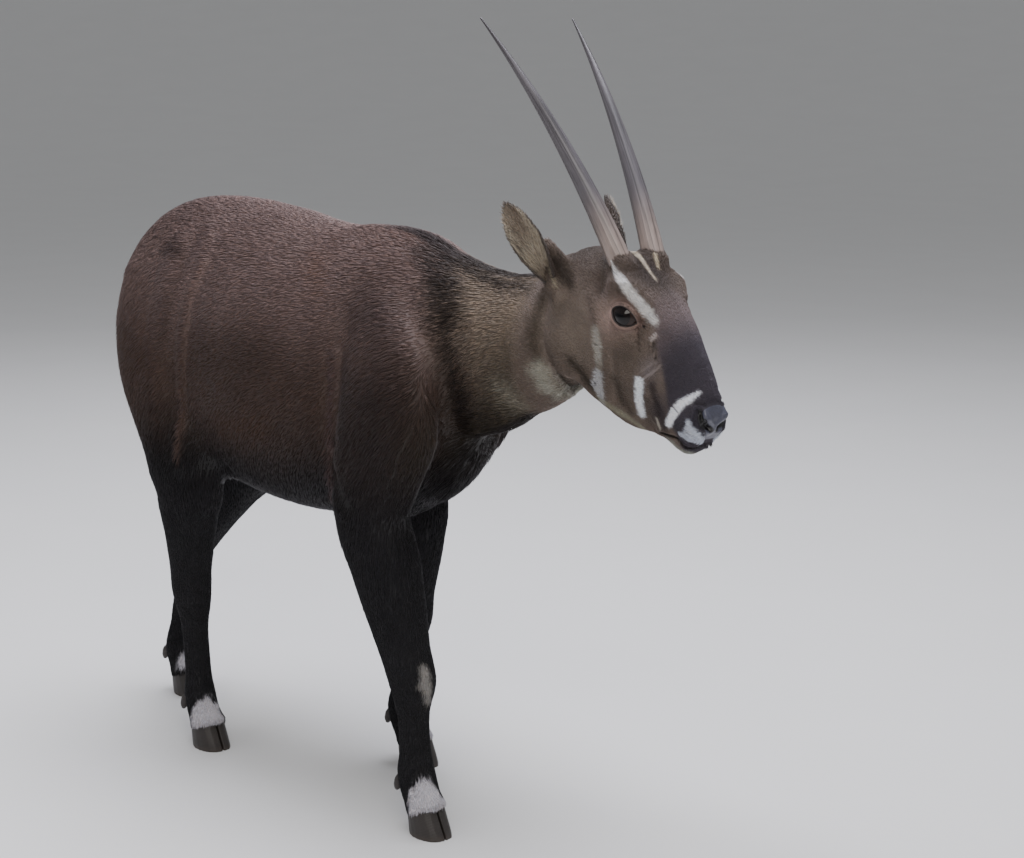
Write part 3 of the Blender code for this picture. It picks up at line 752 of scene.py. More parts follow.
# The lids in section, by the distance outside the edge of the opening: the edge rises
# out of the ball, the lid thickens, and a fold runs round it, deeper above.
LID_EDGE = (-1.4 * MM, 0.4 * MM)
LID_SUNK = 2.4 * MM
LID_RISE = 4.6 * MM
LID_SWELL = (0.5 * MM, 4.0 * MM)
LID_SWELL_HEIGHT = 1.0 * MM
LID_FOLD = 6.2 * MM
LID_FOLD_HALF = 1.1 * MM
LID_FOLD_DEPTH = 0.4 * MM
LID_FOLD_DEEPER = 0.9 * MM
# Where the lids pass into the face, and where that seam is relaxed.
LID_HOLD = (6.5 * MM, 15.0 * MM)
LID_HOLD_DEPTH = (-0.004, 0.004)
SEAM_START = (7.0 * MM, 9.5 * MM)
SEAM_END = (22.0 * MM, 15.0 * MM)
# Lids are only shaped this near the eye, in radii of the ball.
LID_REACH = 2.2
# The face is split twice round the muzzle and the eyes: from where and under what height
# on the head, and how near the eye's centre and how far in front of it.
FINE_PARTS = ((0.262, 0.030, 0.036, -1.0), (0.290, 0.006, 0.027, 0.005))
# Where one part's share of the skin passes into the next: along x past the head's cut,
# in height, and along the head.
HEAD_SEAM = (-0.02, 0.02)
HEAD_FINE_SEAM = (0.0, 0.03)
LEG_SEAM = (0.48, 0.38)
MUZZLE_SEAM = (0.290, 0.312)
# How far a line on the skin is looked for, and how far a fold presses.
LINE_REACH = 0.06
FOLD_REACH = 0.05
FOLD_LIP = 0.22


def lid_outline(count=72):
    """The edge of the opening between the lids, round from its front corner."""
    middle, half = (LID_FRONT + LID_REAR) / 2, (LID_FRONT - LID_REAR) / 2
    out = []
    for k in range(count):
        turn = 2 * math.pi * k / count
        reach = LID_UP if math.sin(turn) > 0 else -LID_DOWN
        rise = reach * abs(math.sin(turn)) ** (1 / LID_FULLNESS)
        out.append((middle + half * math.cos(turn), rise - LID_LEAN * math.cos(turn)))
    return np.array(out)


def over_ball(flat, radius):
    """Places in the eye's x and y with their true distance over the ball from its top."""
    reach = np.maximum(np.linalg.norm(flat, axis=1), 1e-9)
    arc = radius * np.arcsin(np.minimum(reach / radius, 1.0))
    return flat * (arc / reach)[:, None]


def outline_gap(places, outline):
    """How far each place lies outside a closed outline, below zero inside it."""
    best = np.full(len(places), FAR_AWAY)
    inside = np.zeros(len(places), bool)
    for first, second in zip(outline, np.roll(outline, -1, axis=0)):
        along = second - first
        share = np.clip((places - first) @ along / (along @ along), 0.0, 1.0)
        gap = np.linalg.norm(places - first - share[:, None] * along, axis=1)
        best = np.minimum(best, gap)
        level = (first[1] > places[:, 1]) != (second[1] > places[:, 1])
        rise = along[1] if abs(along[1]) > 1e-12 else 1e-12
        crossing = first[0] + (places[:, 1] - first[1]) * along[0] / rise
        inside ^= level & (places[:, 0] < crossing)
    return np.where(inside, -best, best)


def shape_lids(points):
    """Lays the skin round each eyeball as thick lids with an open almond between."""
    radius = settings("eye").radius
    for side in SIDES.values():
        place = eye_frame(side)
        local = through(place.inverted(), points)
        reach = np.linalg.norm(local, axis=1)
        near = np.nonzero((reach < LID_REACH * radius) & (local[:, 2] > LID_HOLD_DEPTH[0]))[0]
        some, far = local[near], reach[near]
        way = some / far[:, None]
        gap = outline_gap(over_ball(way[:, :2] * radius, radius), over_ball(lid_outline(), radius))
        fold = np.exp(-(((gap - LID_FOLD) / LID_FOLD_HALF) ** 2))
        upper = ease(-0.2, 0.3, way[:, 1])
        target = radius - LID_SUNK + LID_RISE * ease(*LID_EDGE, gap)
        target += LID_SWELL_HEIGHT * ease(*LID_SWELL, gap)
        target -= fold * (LID_FOLD_DEPTH + LID_FOLD_DEEPER * upper)
        hold = 1.0 - ease(*LID_HOLD, gap)
        hold *= ease(*LID_HOLD_DEPTH, some[:, 2])
        made = way * (far + (target - far) * hold)[:, None]
        points[near] = through(place, made)
    return points


def relaxed(points, edges, strength, rounds, back=0.0):
    """Points drawn to the middle of their neighbours, and pushed back after each
    round by the share back, which keeps the volume."""
    degree = np.bincount(edges.ravel(), minlength=len(points))[:, None]
    degree = np.maximum(degree, 1)
    for _ in range(rounds):
        for share in (1.0, -back) if back else (1.0,):
            total = np.zeros_like(points)
            for axis in range(3):
                total[:, axis] = np.bincount(
                    edges[:, 0], weights=points[edges[:, 1], axis], minlength=len(points))
                total[:, axis] += np.bincount(
                    edges[:, 1], weights=points[edges[:, 0], axis], minlength=len(points))
            points = points + (total / degree - points) * 0.5 * share * strength[:, None]
    return points


def before_head(points):
    """How far in front of the cut behind the head each point lies along x."""
    (low_x, low_z), (high_x, high_z) = HEAD_PLANE
    return points[:, 0] - low_x - (points[:, 2] - low_z) / (high_z - low_z) * (high_x - low_x)


def copy_of_nodes(name, nodes):
    """One new object that holds merged copies of the named nodes' meshes."""
    select_only(*[frame["nodes"][node] for node in nodes])
    bpy.ops.object.duplicate()
    copies = list(bpy.context.selected_objects)
    for each in copies:
        each.parent = None
        each.data.materials.clear()
        without_keys(each, "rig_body", "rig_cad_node")
    select_only(*copies)
    if len(copies) > 1:
        bpy.ops.object.join()
    made = bpy.context.object
    made.name = made.data.name = name
    begin_edit(made)
    bpy.ops.mesh.remove_doubles(threshold=MERGE)
    end_edit()
    return made


def filler(place, radii):
    """A ball that fills a socket before the skin is grown."""
    made = sphere_of(1.0, 24, 16)
    made.data.transform(place @ Matrix.Diagonal((*radii, 1.0)))
    return made


def keep_largest(obj):
    """Drops every loose surface but the one with the most points."""
    with opened(obj) as bm:
        unseen, surfaces = set(bm.verts), []
        while unseen:
            surface = {unseen.pop()}
            frontier = list(surface)
            while frontier:
                for edge in frontier.pop().link_edges:
                    for vert in edge.verts:
                        if vert in unseen:
                            unseen.discard(vert)
                            surface.add(vert)
                            frontier.append(vert)
            surfaces.append(surface)
        largest = max(surfaces, key=len)
        bmesh.ops.delete(bm, geom=[v for v in bm.verts if v not in largest], context="VERTS")


def subdivide_where(obj, chosen):
    """Splits the faces whose points pass the test, as a boolean for each point."""
    bpy.ops.object.select_all(action="DESELECT")
    for part in (obj.data.vertices, obj.data.edges, obj.data.polygons):
        part.foreach_set("select", np.zeros(len(part), bool))
    corners, starts = corners_of(obj)
    obj.data.polygons.foreach_set("select", np.minimum.reduceat(chosen[corners], starts))
    select_only(obj)
    bpy.ops.object.mode_set(mode="EDIT")
    bpy.ops.mesh.select_mode(type="FACE")
    bpy.ops.mesh.subdivide(number_cuts=1)
    end_edit()


def surface_of(obj):
    bm = bmesh.new()
    bm.from_mesh(obj.data)
    tree = BVHTree.FromBMesh(bm)
    bm.free()
    return tree


def pressed(points, normals, line, depth):
    """Points pressed in along a line of places with half widths, with a slight lip
    beside it. A depth below zero raises a fold."""
    gap, half = line_distance(points, line)
    share = gap / np.maximum(half, 0.5 * MM)
    fall = np.exp(-share**2) - FOLD_LIP * np.exp(-((share - 2.0) ** 2))
    return points - normals * (depth * fall * (gap < FOLD_REACH))[:, None]


def in_metres(line):
    """Turns the half widths of a cast line from pixels to metres."""
    away = np.linalg.norm(line[:, :3] - np.array(camera_place()), axis=1)
    line[:, 3] *= away / CAMERA_FOCAL_PX
    return line


def dabbed(points, normals, dabs, place):
    """Points raised by soft swellings, each on both sides."""
    local = through(place.inverted(), points)
    for _, centre, radii, height in dabs:
        for side in SIDES.values():
            share = (local - np.array(sided(centre, side))) / np.array(radii)
            fall = np.exp(-(share**2).sum(axis=1))
            points = points + normals * (height * fall)[:, None]
    return points


def socket_fillers():
    """The balls that close the sockets and fill out the muzzle and the coronets."""
    fillers = []
    for label, side in SIDES.items():
        pedicle = horn_frame(side) @ Matrix.Translation(PEDICLE_PLACE)
        fillers.append(filler(pedicle, PEDICLE_RADII))
        fillers.append(filler(ear_frame(label), EAR_SOCKET_RADII))
        for (x, y, z), radius in EAR_BASE:
            base = ear_frame(label) @ Matrix.Translation((x, -side * y, z))
            fillers.append(filler(base, (radius,) * 3))
        lips = [(place, LIP_RADII) for place in LIP_PLACES]
        for place, radii in [(NOSTRIL_PLACE, NOSTRIL_RADII), *lips]:
            fillers.append(filler(on_head() @ Matrix.Translation(sided(place, side)), radii))
    for foot_x, foot_y in FEET.values():
        rim = Matrix.Translation((foot_x + CORONET_FORWARD, foot_y, CORONET_HEIGHT))
        rim = rim @ Matrix.Rotation(-math.atan(CORONET_SLOPE), 4, "Y")
        fillers.append(filler(rim, CORONET_RADII))
    return fillers


def fused_flesh(voxel):
    """The frame's flesh and the fillers, grown together."""
    flesh = copy_of_nodes("skin", FLESH + ("eye_right", "eye_left"))
    select_only(flesh, *socket_fillers())
    bpy.ops.object.join()
    modify(flesh, "REMESH", mode="VOXEL", voxel_size=voxel)
    keep_largest(flesh)
    return flesh


def smooth_flesh(flesh, sizes):
    """Smooths away the cuts between the nodes, and sinks the skin under the coat."""
    points, edges = points_of(flesh), edges_of(flesh)
    head = ease(*HEAD_SEAM, before_head(points))
    legs = ease(*LEG_SEAM, points[:, 2])
    trunk = (1.0 - head) * (1.0 - legs)
    tip = head * ease(*MUZZLE_SEAM, to_head(points)[:, 0])
    # Each part's strength, its number of rounds and the share that is pushed back.
    rounds = ((0.6 * head, 3, 0.9), (tip, 4, 0.6), (legs, 10, 0.9), (trunk, 30, 0.9))
    for strength, count, back in rounds:
        points = relaxed(points, edges, strength, count, back)
    points = relaxed(points, edges, trunk + legs, 2)
    set_points(flesh, points)
    depth = head * sizes.head_depth + legs * sizes.leg_depth
    depth += trunk * sizes.body_depth
    set_points(flesh, points - normals_of(flesh) * depth[:, None])


def refine_head(flesh):
    """Splits the head's faces, more finely round the muzzle and the eyes, and returns
    the smoothed points."""
    subdivide_where(flesh, before_head(points_of(flesh)) > 0.0)
    for muzzle_start, muzzle_top, eye_reach, eye_depth in FINE_PARTS:
        points = points_of(flesh)
        local = to_head(points)
        fine = (local[:, 0] > muzzle_start) & (local[:, 2] < muzzle_top)
        for side in SIDES.values():
            about = through(eye_frame(side).inverted(), points)
            fine |= (np.linalg.norm(about, axis=1) < eye_reach) & (about[:, 2] > eye_depth)
        subdivide_where(flesh, fine)
    points = points_of(flesh)
    head = ease(*HEAD_FINE_SEAM, before_head(points))
    points = relaxed(points, edges_of(flesh), head, 5, 0.9)
    set_points(flesh, points)
    return points


def laid(surface, line, both, step, head=True):
    """A line of the photograph's pixels on the skin, and where both is true the same
    line on the animal's left."""
    right = in_metres(cast(surface, line, step))
    return [right, mirrored(surface, right, head)] if both else [right]


def sculpt(flesh, points):
    """Raises the muscles, lays the lids round the eyes and presses the folds in."""
    surface = surface_of(flesh)
    folds = []
    for table, step, head in ((FACE_FOLDS, FACE_STEP, True), (BODY_FOLDS, BODY_STEP, False)):
        for _, depth, both, line in table:
            folds += [(depth, place) for place in laid(surface, line, both, step, head)]
    points = dabbed(points, normals_of(flesh), HEAD_DABS, on_head())
    points = dabbed(points, normals_of(flesh), BODY_DABS, Matrix.Identity(4))
    points = shape_lids(points)
    gap = lid_gap(points)
    seam = ease(*SEAM_START, gap) * ease(*SEAM_END, gap)
    points = relaxed(points, edges_of(flesh), seam, 10)
    set_points(flesh, points)
    normals = normals_of(flesh)
    for depth, line in folds:
        points = pressed(points, normals, line, depth)
    set_points(flesh, points)
    smooth_shaded(flesh)


def grow_skin():
    """The skin: the frame's flesh fused, smoothed, sunk under the coat and sculpted."""
    sizes = settings("skin")
    flesh = fused_flesh(sizes.voxel)
    smooth_flesh(flesh, sizes)
    unwrap(flesh)
    flesh.data.uv_layers[0].name = "OFBake"
    sculpt(flesh, refine_head(flesh))
    return flesh


# Marks of the coat, as lines of the photograph's pixels along the animal's right:
# u, v and half the mark's width in pixels. Each has its colour, the share of it that
# shows, how soft its edge is in metres, and whether the other side has it too.
MARKS = (
    ("over the eye", "#d8d5d3", 1.0, 0.0020, True,
     ((611, 260, 1.2), (616, 271, 2.4), (623, 283, 4.2), (636, 300, 5.6), (647, 312, 5.8),
      (656, 323, 4.2))),
    ("between the horns", "#c4b8a5", 0.9, 0.0016, False,
     ((634, 250, 2.6), (639, 256, 2.8), (646, 266, 1.9), (657, 281, 0.9))),
    ("before the far horn", "#c2b49a", 0.8, 0.0012, False, ((657, 257, 1.6), (659, 269, 1.6))),
    ("behind the cheek, upper", "#aba79f", 0.9, 0.0024, True,
     ((597, 331, 4.0), (599, 346, 6.0), (601, 362, 5.2))),
    ("behind the cheek, link", "#8d867b", 0.7, 0.0018, True, ((601, 362, 3.0), (601, 374, 3.6))),
    ("behind the cheek, lower", "#b7b6b8", 1.0, 0.0020, True,
     ((600, 375, 6.2), (599, 386, 7.2), (604, 402, 4.8))),
    ("cheek band", "#f4f8ff", 1.0, 0.0020, True,
     ((640, 383, 5.4), (640, 394, 6.2), (641, 404, 5.0), (643, 414, 4.2))),
    ("gland spot", "#b9aeaa", 0.85, 0.0012, True, ((653, 341, 1.8), (657, 336, 2.0))),
    ("muzzle band", "#f8f9ff", 1.0, 0.0017, True,
     ((700, 394, 2.4), (690, 400, 4.2), (681, 406, 5.2), (675, 414, 5.2), (669, 424, 4.8))),
    ("corner of the mouth", "#c9c3b8", 0.8, 0.0010, True, ((658, 420, 1.8), (661, 429, 2.0))),
    ("upper lip", "#c8cdd8", 1.0, 0.0018, True,
     ((689, 422, 2.6), (690, 430, 5.6), (696, 436, 6.0), (700, 440, 4.4))),
    ("lip edge", "#c6cbd7", 1.0, 0.0012, True, ((681, 434, 3.0), (690, 439, 4.6), (701, 442, 2.6))),
    ("hind cannon", "#a9a297", 0.6, 0.0018, False, ((212, 646, 1.4), (213, 658, 1.8), (212, 670, 1.2))),
    ("ear's root", "#a69c88", 0.8, 0.0014, True, ((552, 268, 2.0), (555, 277, 2.2), (557, 287, 1.6))),
    ("chin", "#9a9c92", 0.75, 0.0030, True, ((670, 440, 4.0), (680, 450, 6.0), (690, 453, 5.0))),
    ("under the jaw", "#9b9884", 0.75, 0.0022, True,
     ((600, 399, 2.6), (612, 408, 3.6), (628, 418, 4.0), (642, 427, 3.6), (652, 433, 2.4))),
    ("throat", "#a9a79a", 0.85, 0.0080, True, ((541, 372, 9.0), (548, 386, 10.0), (562, 393, 6.0))),
    ("lower throat", "#8e887a", 0.6, 0.0120, True, ((508, 388, 9.0), (520, 404, 9.0))),
    ("knee", "#a19d98", 0.8, 0.0040, False, ((424, 668, 4.0), (426, 682, 7.0), (430, 700, 3.0))),
)
# Painted light and shade laid as marks in the same way, with some of the coat's own tones: hollows,
# grooves and creases are painted darker as shade, and lit ridges lighter as painted highlights.
LIGHT_SHADE_AND_TONE_MARKS = (
    # Painted shade in the hollow of the hip.
    ("hip hollow", "#2b211d", 0.6, 0.0120, True, ((170, 246, 8.0), (184, 250, 8.0))),
    # Painted highlight along the ridge of the thigh's front edge, where it catches the light.
    ("thigh's front edge", "#6d574d", 0.5, 0.0050, True,
     ((206, 262, 3.0), (188, 300, 3.4), (181, 335, 3.4), (182, 375, 3.0), (184, 415, 3.0),
      (178, 455, 2.4))),
    # Painted shade in the groove behind the thigh's edge.
    ("behind the thigh's edge", "#2f241f", 0.5, 0.0100, True,
     ((188, 262, 4.0), (172, 300, 5.0), (166, 340, 5.0))),
    # Painted highlight along the raised fold behind the elbow.
    ("elbow fold", "#5c4a48", 0.6, 0.0040, True,
     ((336, 356, 2.0), (334, 400, 3.0), (331, 450, 3.6), (331, 500, 3.0))),
    # Painted shade in the groove behind the elbow fold.
    ("behind the elbow fold", "#231d1b", 0.6, 0.0100, True,
     ((348, 360, 5.0), (346, 400, 6.0), (345, 450, 6.0))),
    ("low flank, russet", "#4a3322", 0.5, 0.0200, True, ((226, 424, 10.0), (262, 424, 12.0))),
    ("rib, russet", "#7a5c4c", 0.4, 0.0160, True, ((320, 262, 8.0), (322, 290, 5.0))),
    ("foot of the neck", "#1d1814", 0.92, 0.0160, True,
     ((430, 252, 8.0), (443, 286, 12.0), (449, 326, 12.0), (453, 366, 10.0), (463, 404, 9.0))),
    ("under the withers", "#1f1915", 0.8, 0.0140, True,
     ((448, 262, 6.0), (458, 290, 11.0), (458, 318, 9.0))),
    # Painted shade under the cheek.
    ("low cheek", "#28231b", 0.9, 0.0065, True, ((574, 362, 5.0), (584, 374, 7.0), (592, 386, 5.0))),
    ("side of the nape", "#261f1b", 0.9, 0.0100, True,
     ((446, 257, 6.0), (476, 273, 8.0), (504, 283, 7.0), (530, 290, 4.0))),
    # Painted shade in the crease under the brow.
    ("under the brow", "#352d2b", 0.6, 0.0016, True,
     ((620, 293, 1.8), (636, 306, 2.2), (648, 319, 2.0), (656, 326, 1.6))),
    # Painted shade in the hollow behind the jaw.
    ("behind the jaw", "#342d22", 0.75, 0.0090, True,
     ((545, 300, 4.0), (538, 322, 6.0), (535, 345, 6.0), (542, 362, 4.0))),
    # Painted shade under the angle of the jaw.
    ("angle of the jaw", "#29251c", 0.85, 0.0050, True,
     ((560, 374, 3.0), (572, 385, 6.0), (586, 392, 6.5), (592, 398, 4.0))),
    ("behind the horn", "#2f2722", 0.6, 0.0050, True,
     ((606, 262, 4.0), (605, 278, 5.0), (602, 294, 4.0))),
    ("behind the eye", "#4a3f39", 0.6, 0.0040, True, ((590, 300, 3.0), (594, 318, 3.0), (598, 330, 2.0))),
    ("before the ear", "#2b241f", 0.8, 0.0050, True, ((556, 262, 6.0), (566, 276, 8.0), (572, 286, 5.0))),
    ("between the stripes", "#38312a", 0.7, 0.0050, True,
     ((616, 380, 5.0), (622, 396, 6.0), (632, 412, 3.0))),
    ("beside the mouth", "#2f2729", 0.8, 0.0045, True,
     ((653, 386, 4.0), (657, 402, 5.0), (661, 416, 4.0), (666, 428, 3.0))),
)
# The nostril's opening is painted near-black, as painted shadow inside the hole.
NOSTRIL_SHADOW = "#0b090b"
NOSTRIL_MARK = ("nostril", NOSTRIL_SHADOW, 1.0, 0.0012, True,
                ((700, 411, 2.2), (701, 419, 3.8), (704, 425, 4.4), (711, 430, 2.8)))
# Dark lines painted into the face's slits and creases: painted shade in the tear line, the gland slit,
# the fold under the eye, the mouth and the creases of the stripe and lip, and painted shadow in the
# nostril. The dots in the stripes are the coat's own.
DARK_MARKS = (
    ("dot in the upper stripe", "#2c2624", 0.9, 0.0006, True, ((597, 344, 1.1), (597, 346, 1.1))),
    ("dot in the lower stripe", "#2c2624", 0.9, 0.0006, True, ((597, 384, 1.3), (597, 386, 1.3))),
    ("tear line", "#1a1514", 1.0, 0.0008, True, ((638, 318, 1.4), (642, 323, 1.3), (647, 329, 1.0))),
    ("gland slit", "#2b2523", 0.8, 0.0012, True, ((654, 342, 1.6), (655, 352, 2.0), (657, 361, 1.6))),
    ("fold under the eye", "#2d2523", 0.8, 0.0007, True, ((640, 329, 0.9), (641, 352, 0.8))),
    ("mouth", "#1f1a1a", 0.9, 0.0008, True,
     ((661, 432, 1.0), (668, 435, 1.2), (679, 438, 1.2), (684, 444, 1.2), (690, 448, 1.2),
      (702, 446, 1.0))),
    ("stripe crease", "#4a4246", 0.8, 0.0006, True, ((671, 404, 0.7), (679, 413, 0.7))),
    ("lip crease", "#57505a", 0.7, 0.0006, True, ((683, 428, 0.7), (697, 439, 0.7))),
    NOSTRIL_MARK,
)
# Soft fields of colour on the head, in its own axes: place of the left one, radii,
# colour and share.
HEAD_TINTS = (
    ((0.100, 0.056, -0.045), (0.050, 0.040, 0.048), "#807469", 0.8),
    ((0.105, 0.050, 0.030), (0.030, 0.026, 0.026), "#5a4e49", 0.7),
    ((0.215, 0.036, -0.064), (0.040, 0.020, 0.018), "#5f554e", 0.8),
    ((0.184, 0.044, -0.022), (0.024, 0.020, 0.022), "#564d45", 0.8),
    ((0.225, 0.038, -0.016), (0.014, 0.016, 0.020), "#82797a", 0.7),
    ((0.265, 0.032, -0.052), (0.024, 0.020, 0.026), "#403a3f", 0.85),
    ((0.130, 0.000, 0.066), (0.068, 0.050, 0.026), "#2d2420", 0.95),
    ((0.040, 0.020, 0.020), (0.050, 0.050, 0.034), "#382e28", 0.85),
    ((0.148, 0.050, 0.002), (0.027, 0.026, 0.025), "#9a857c", 0.9),
)
# The same on the body, in the row frame. These are mostly painted light and shade. The tops of the
# withers, croup and shoulder are painted lighter where the light from above falls, partly the russet of
# the withers and croup. The belly, chest front, low thigh, low shoulder and arm are painted darker as
# shade under the trunk, partly the coat's own darker underside.
BODY_TONES_AND_PAINTED_LIGHT = (
    ((0.060, 0.0, 0.870), (0.120, 0.090, 0.050), "#6e564d", 0.7),
    ((-0.320, 0.0, 0.880), (0.140, 0.100, 0.050), "#75615c", 0.7),
    ((0.150, 0.150, 0.560), (0.080, 0.070, 0.110), "#2b2524", 0.85),
    ((0.120, 0.120, 0.740), (0.070, 0.070, 0.050), "#584a47", 0.7),
    ((-0.100, 0.0, 0.410), (0.300, 0.110, 0.080), "#0b0a08", 0.95),
    ((0.205, 0.0, 0.535), (0.080, 0.090, 0.100), "#0b0a09", 0.95),
    ((-0.360, 0.110, 0.430), (0.070, 0.060, 0.060), "#0c0b0a", 0.85),
    ((0.130, 0.120, 0.460), (0.050, 0.060, 0.045), "#161514", 0.6),
)
# Where one colour of the coat passes into the next, in metres: heights over the floor,
# places along the body or the head, and distances from the middle line.
# Over these heights the trunk passes into the back's colour, partly painted light on its top.
BACK_HEIGHTS = (0.625, 0.775)
# Below these heights the trunk passes into the belly's colour, partly painted shade under it.
BELLY_HEIGHTS = (0.62, 0.44)
LEG_HEIGHTS = (0.56, 0.42)
NECK_START = (0.17, 0.29)
NECK_HEIGHTS = (0.50, 0.62)
THROAT_HEIGHTS = (0.70, 0.58)
THROAT_START = (0.16, 0.26)
CREST_SIDES = (0.024, 0.008)
CREST_START = (-0.04, 0.08)
CREST_HEIGHTS = (0.5, 0.6)
HEAD_COLOUR_SEAM = (-0.012, 0.016)
# The lines of the neck's root and of the throat lean by these slopes about these places.
NECK_LEAN, NECK_LEVEL = 0.45, 0.70
THROAT_LEAN, THROAT_PLACE = 0.9, 0.25
LEG_LEAN, LEG_SIDE = 0.25, 0.09
# The dark bridge of the nose: its lower edge on the head falls by this slope.
BRIDGE_EDGE, BRIDGE_FALL, BRIDGE_PLACE = 0.026, 0.89, 0.205
BRIDGE_SEAM = (-0.009, 0.008)
BRIDGE_START = (0.140, 0.215)
BRIDGE_DARKER = (0.195, 0.250)
NOSE_START = (0.302, 0.314)
NOSE_UNDER = (-0.044, -0.036)
# The pale patch over each hoof, from the middle of the foot, and the one on the knee.
SOCK_FORWARD, SOCK_OUT, SOCK_HEIGHT = 0.016, 0.010, 0.050
SOCK_RADII = (0.032, 0.032, 0.042)
KNEE_RADII = (0.020, 0.020, 0.030)
# The lids' colours, by the distance outside their opening.
LID_PALE = (11.0 * MM, 5.0 * MM)
# The dark crease round the lids is painted shade in their fold.
LID_CREASE, LID_CREASE_HALF = 5.6 * MM, 0.9 * MM
LID_DARK = (0.8 * MM, 0.1 * MM)
LID_BARE = (2.0 * MM, 1.0 * MM)
NOSTRIL_BARE = (0.8 * MM, -0.4 * MM)
# The lids' gap is only measured this near an eye's centre.
LID_GAP_REACH = 0.034
# The bare nose pad on the head: where it starts, its lower edge and its sides, which
# lean in below this level.
PAD_START = (0.307, 0.315)
PAD_UNDER = (-0.050, -0.045)
PAD_SIDES = (0.0280, 0.0240)
PAD_LEVEL, PAD_LEAN = -0.014, 0.55
# Where the hair turns as it lies: heights on the body, places along it, distances from
# its middle line, and on the head heights and places along it.
LOW_HEIGHTS = (0.70, 0.45)
RUMP_PLACES = (-0.32, -0.52)
FORE_PLACES = (-0.02, 0.12)
FLANK_SIDES = (0.02, 0.10)
LEG_HAIR_HEIGHTS = (0.55, 0.40)
LEG_HAIR_WAY = (-0.12, 0.0, -1.0)
CHEEK_HEIGHTS = (0.02, -0.09)
LIP_PLACES_ALONG = (0.27, 0.31)
LIP_HEIGHTS = (-0.02, -0.05)
# Where the hair grows longer or shorter, in the same way.
NECK_HAIR_START = (0.05, 0.20)
NECK_HAIR_HEIGHTS = (0.48, 0.56)
NECK_HAIR_LEAN = 0.3
CREST_HAIR_SIDES = (0.030, 0.008)
CREST_HAIR_START = (-0.02, 0.16)
BELLY_HAIR_HEIGHTS = (0.40, 0.50)
SHORT_LEG_HEIGHTS = (0.50, 0.24)
FACE_HAIR_PLACES = (0.08, 0.30)
LID_HAIR_GAP = (12.0 * MM, 3.0 * MM)
# How steeply the skin must face up for the crest, and down for the belly.
FACING_UP = (0.80, 0.95)
FACING_DOWN = (-0.3, -0.8)
# The width of a tuft on body and face, and how much less it is on the leg and nose.
BODY_TUFT, LEG_THINNER = 0.00175, 0.00035
FACE_TUFT, NOSE_THINNER = 0.00100, 0.0002
# How much less the hair lies back, and how much more it hangs, on the low flank, the
# rump and over the shoulder, and how far it parts along the back.
HAIR_LESS_BACK, HAIR_PARTS = 0.45, 0.10
HAIR_HANGS, LOW_HANGS, RUMP_HANGS, FORE_HANGS = 0.30, 0.45, 0.65, 0.30
# The same on the head: towards the lips, over the cheek and out from the nose.
LIP_LESS_BACK, LIP_HANGS, CHEEK_HANGS, FACE_PARTS = 0.5, 0.8, 0.25, 0.20
FACE_PARTS_PLACES = (0.10, 0.20)
# Swirls of the hair: how far they turn it in radians, their size and their seed.
HAIR_SWIRLS = ((0.16, 0.050, 5), (0.08, 0.014, 6))
# How ragged the marks' edges are, in the softness or half width of each mark.
MARK_RAGGED, MARK_RAGGED_FINE, MARK_RAGGED_BROAD = 0.5, 0.9, 0.22
MARK_EDGE = 1.5
# The pale patches start and are full at these shares of their ball, give or take the
# ragged edge and the streaks.
SOCK_EDGE, SOCK_SHOWS = (0.38, 0.60), 0.92
SOCK_RAGGED, SOCK_STREAKS, SOCK_STREAK_LONG = 0.16, 0.12, 0.35
KNEE_EDGE, KNEE_SHOWS, KNEE_RAGGED = (0.40, 0.60), 0.7, 0.12
# What one step leaves for the next: the skin, and its marks, painted light and painted shade as lines on
# it.
built = {}


def cast_marks(surface, table):
    """Each mark's colour, share and softness with its lines of places on the skin."""
    marks = []
    for _, colour, share, soft, both, line in table:
        for place in laid(surface, line, both, MARK_STEP):
            marks.append((linear(colour), share, soft, place))
    return marks


def soft_ball(points, centre, radii):
    return np.exp(-(((points - np.array(centre)) / np.array(radii)) ** 2).sum(axis=1))


def body_colour(points, off_head):
    """The colours of body, neck and legs, with painted light on the top of the trunk and painted shade
    under it.
    """
    look = settings("coat")
    x, y, z = points.T
    across = np.abs(y)
    uneven = 0.030 * ripple(points, 0.11, 17)
    colour = plain(look.body, points)
    # Painted light: the top of the trunk is lighter, partly the russet of the back and partly the light
    # from above.
    colour = tinted(colour, ease(*BACK_HEIGHTS, z + uneven), look.back)
    # Painted shade: the low flank and belly are darker, partly the coat's own darker underside and partly
    # the shade under the trunk.
    colour = tinted(colour, ease(*BELLY_HEIGHTS, z + uneven), look.belly)
    # Soft fields of painted light and shade, with some of the coat's own tone.
    for centre, radii, new, share in BODY_TONES_AND_PAINTED_LIGHT:
        folded = np.column_stack([x, across, z]) if centre[1] else points
        colour = tinted(colour, share * soft_ball(folded, centre, radii), new)
    neck = ease(*NECK_START, x + NECK_LEAN * (z - NECK_LEVEL) + 0.5 * uneven)
    colour = tinted(colour, neck * ease(*NECK_HEIGHTS, z), look.neck)
    throat = ease(*THROAT_HEIGHTS, z - THROAT_LEAN * (x - THROAT_PLACE)) * ease(*THROAT_START, x)
    # Painted shade: the underside of the neck is darker, partly the coat's own tone.
    colour = tinted(colour, 0.80 * throat * off_head, "#39342a")
    crest = ease(*CREST_SIDES, across) * ease(*CREST_START, x) * ease(*CREST_HEIGHTS, z)
    colour = tinted(colour, 0.85 * crest, "#201b1b")
    return tinted(colour, 0.93 * ease(*LEG_HEIGHTS, z + LEG_LEAN * (across - LEG_SIDE)), look.leg)


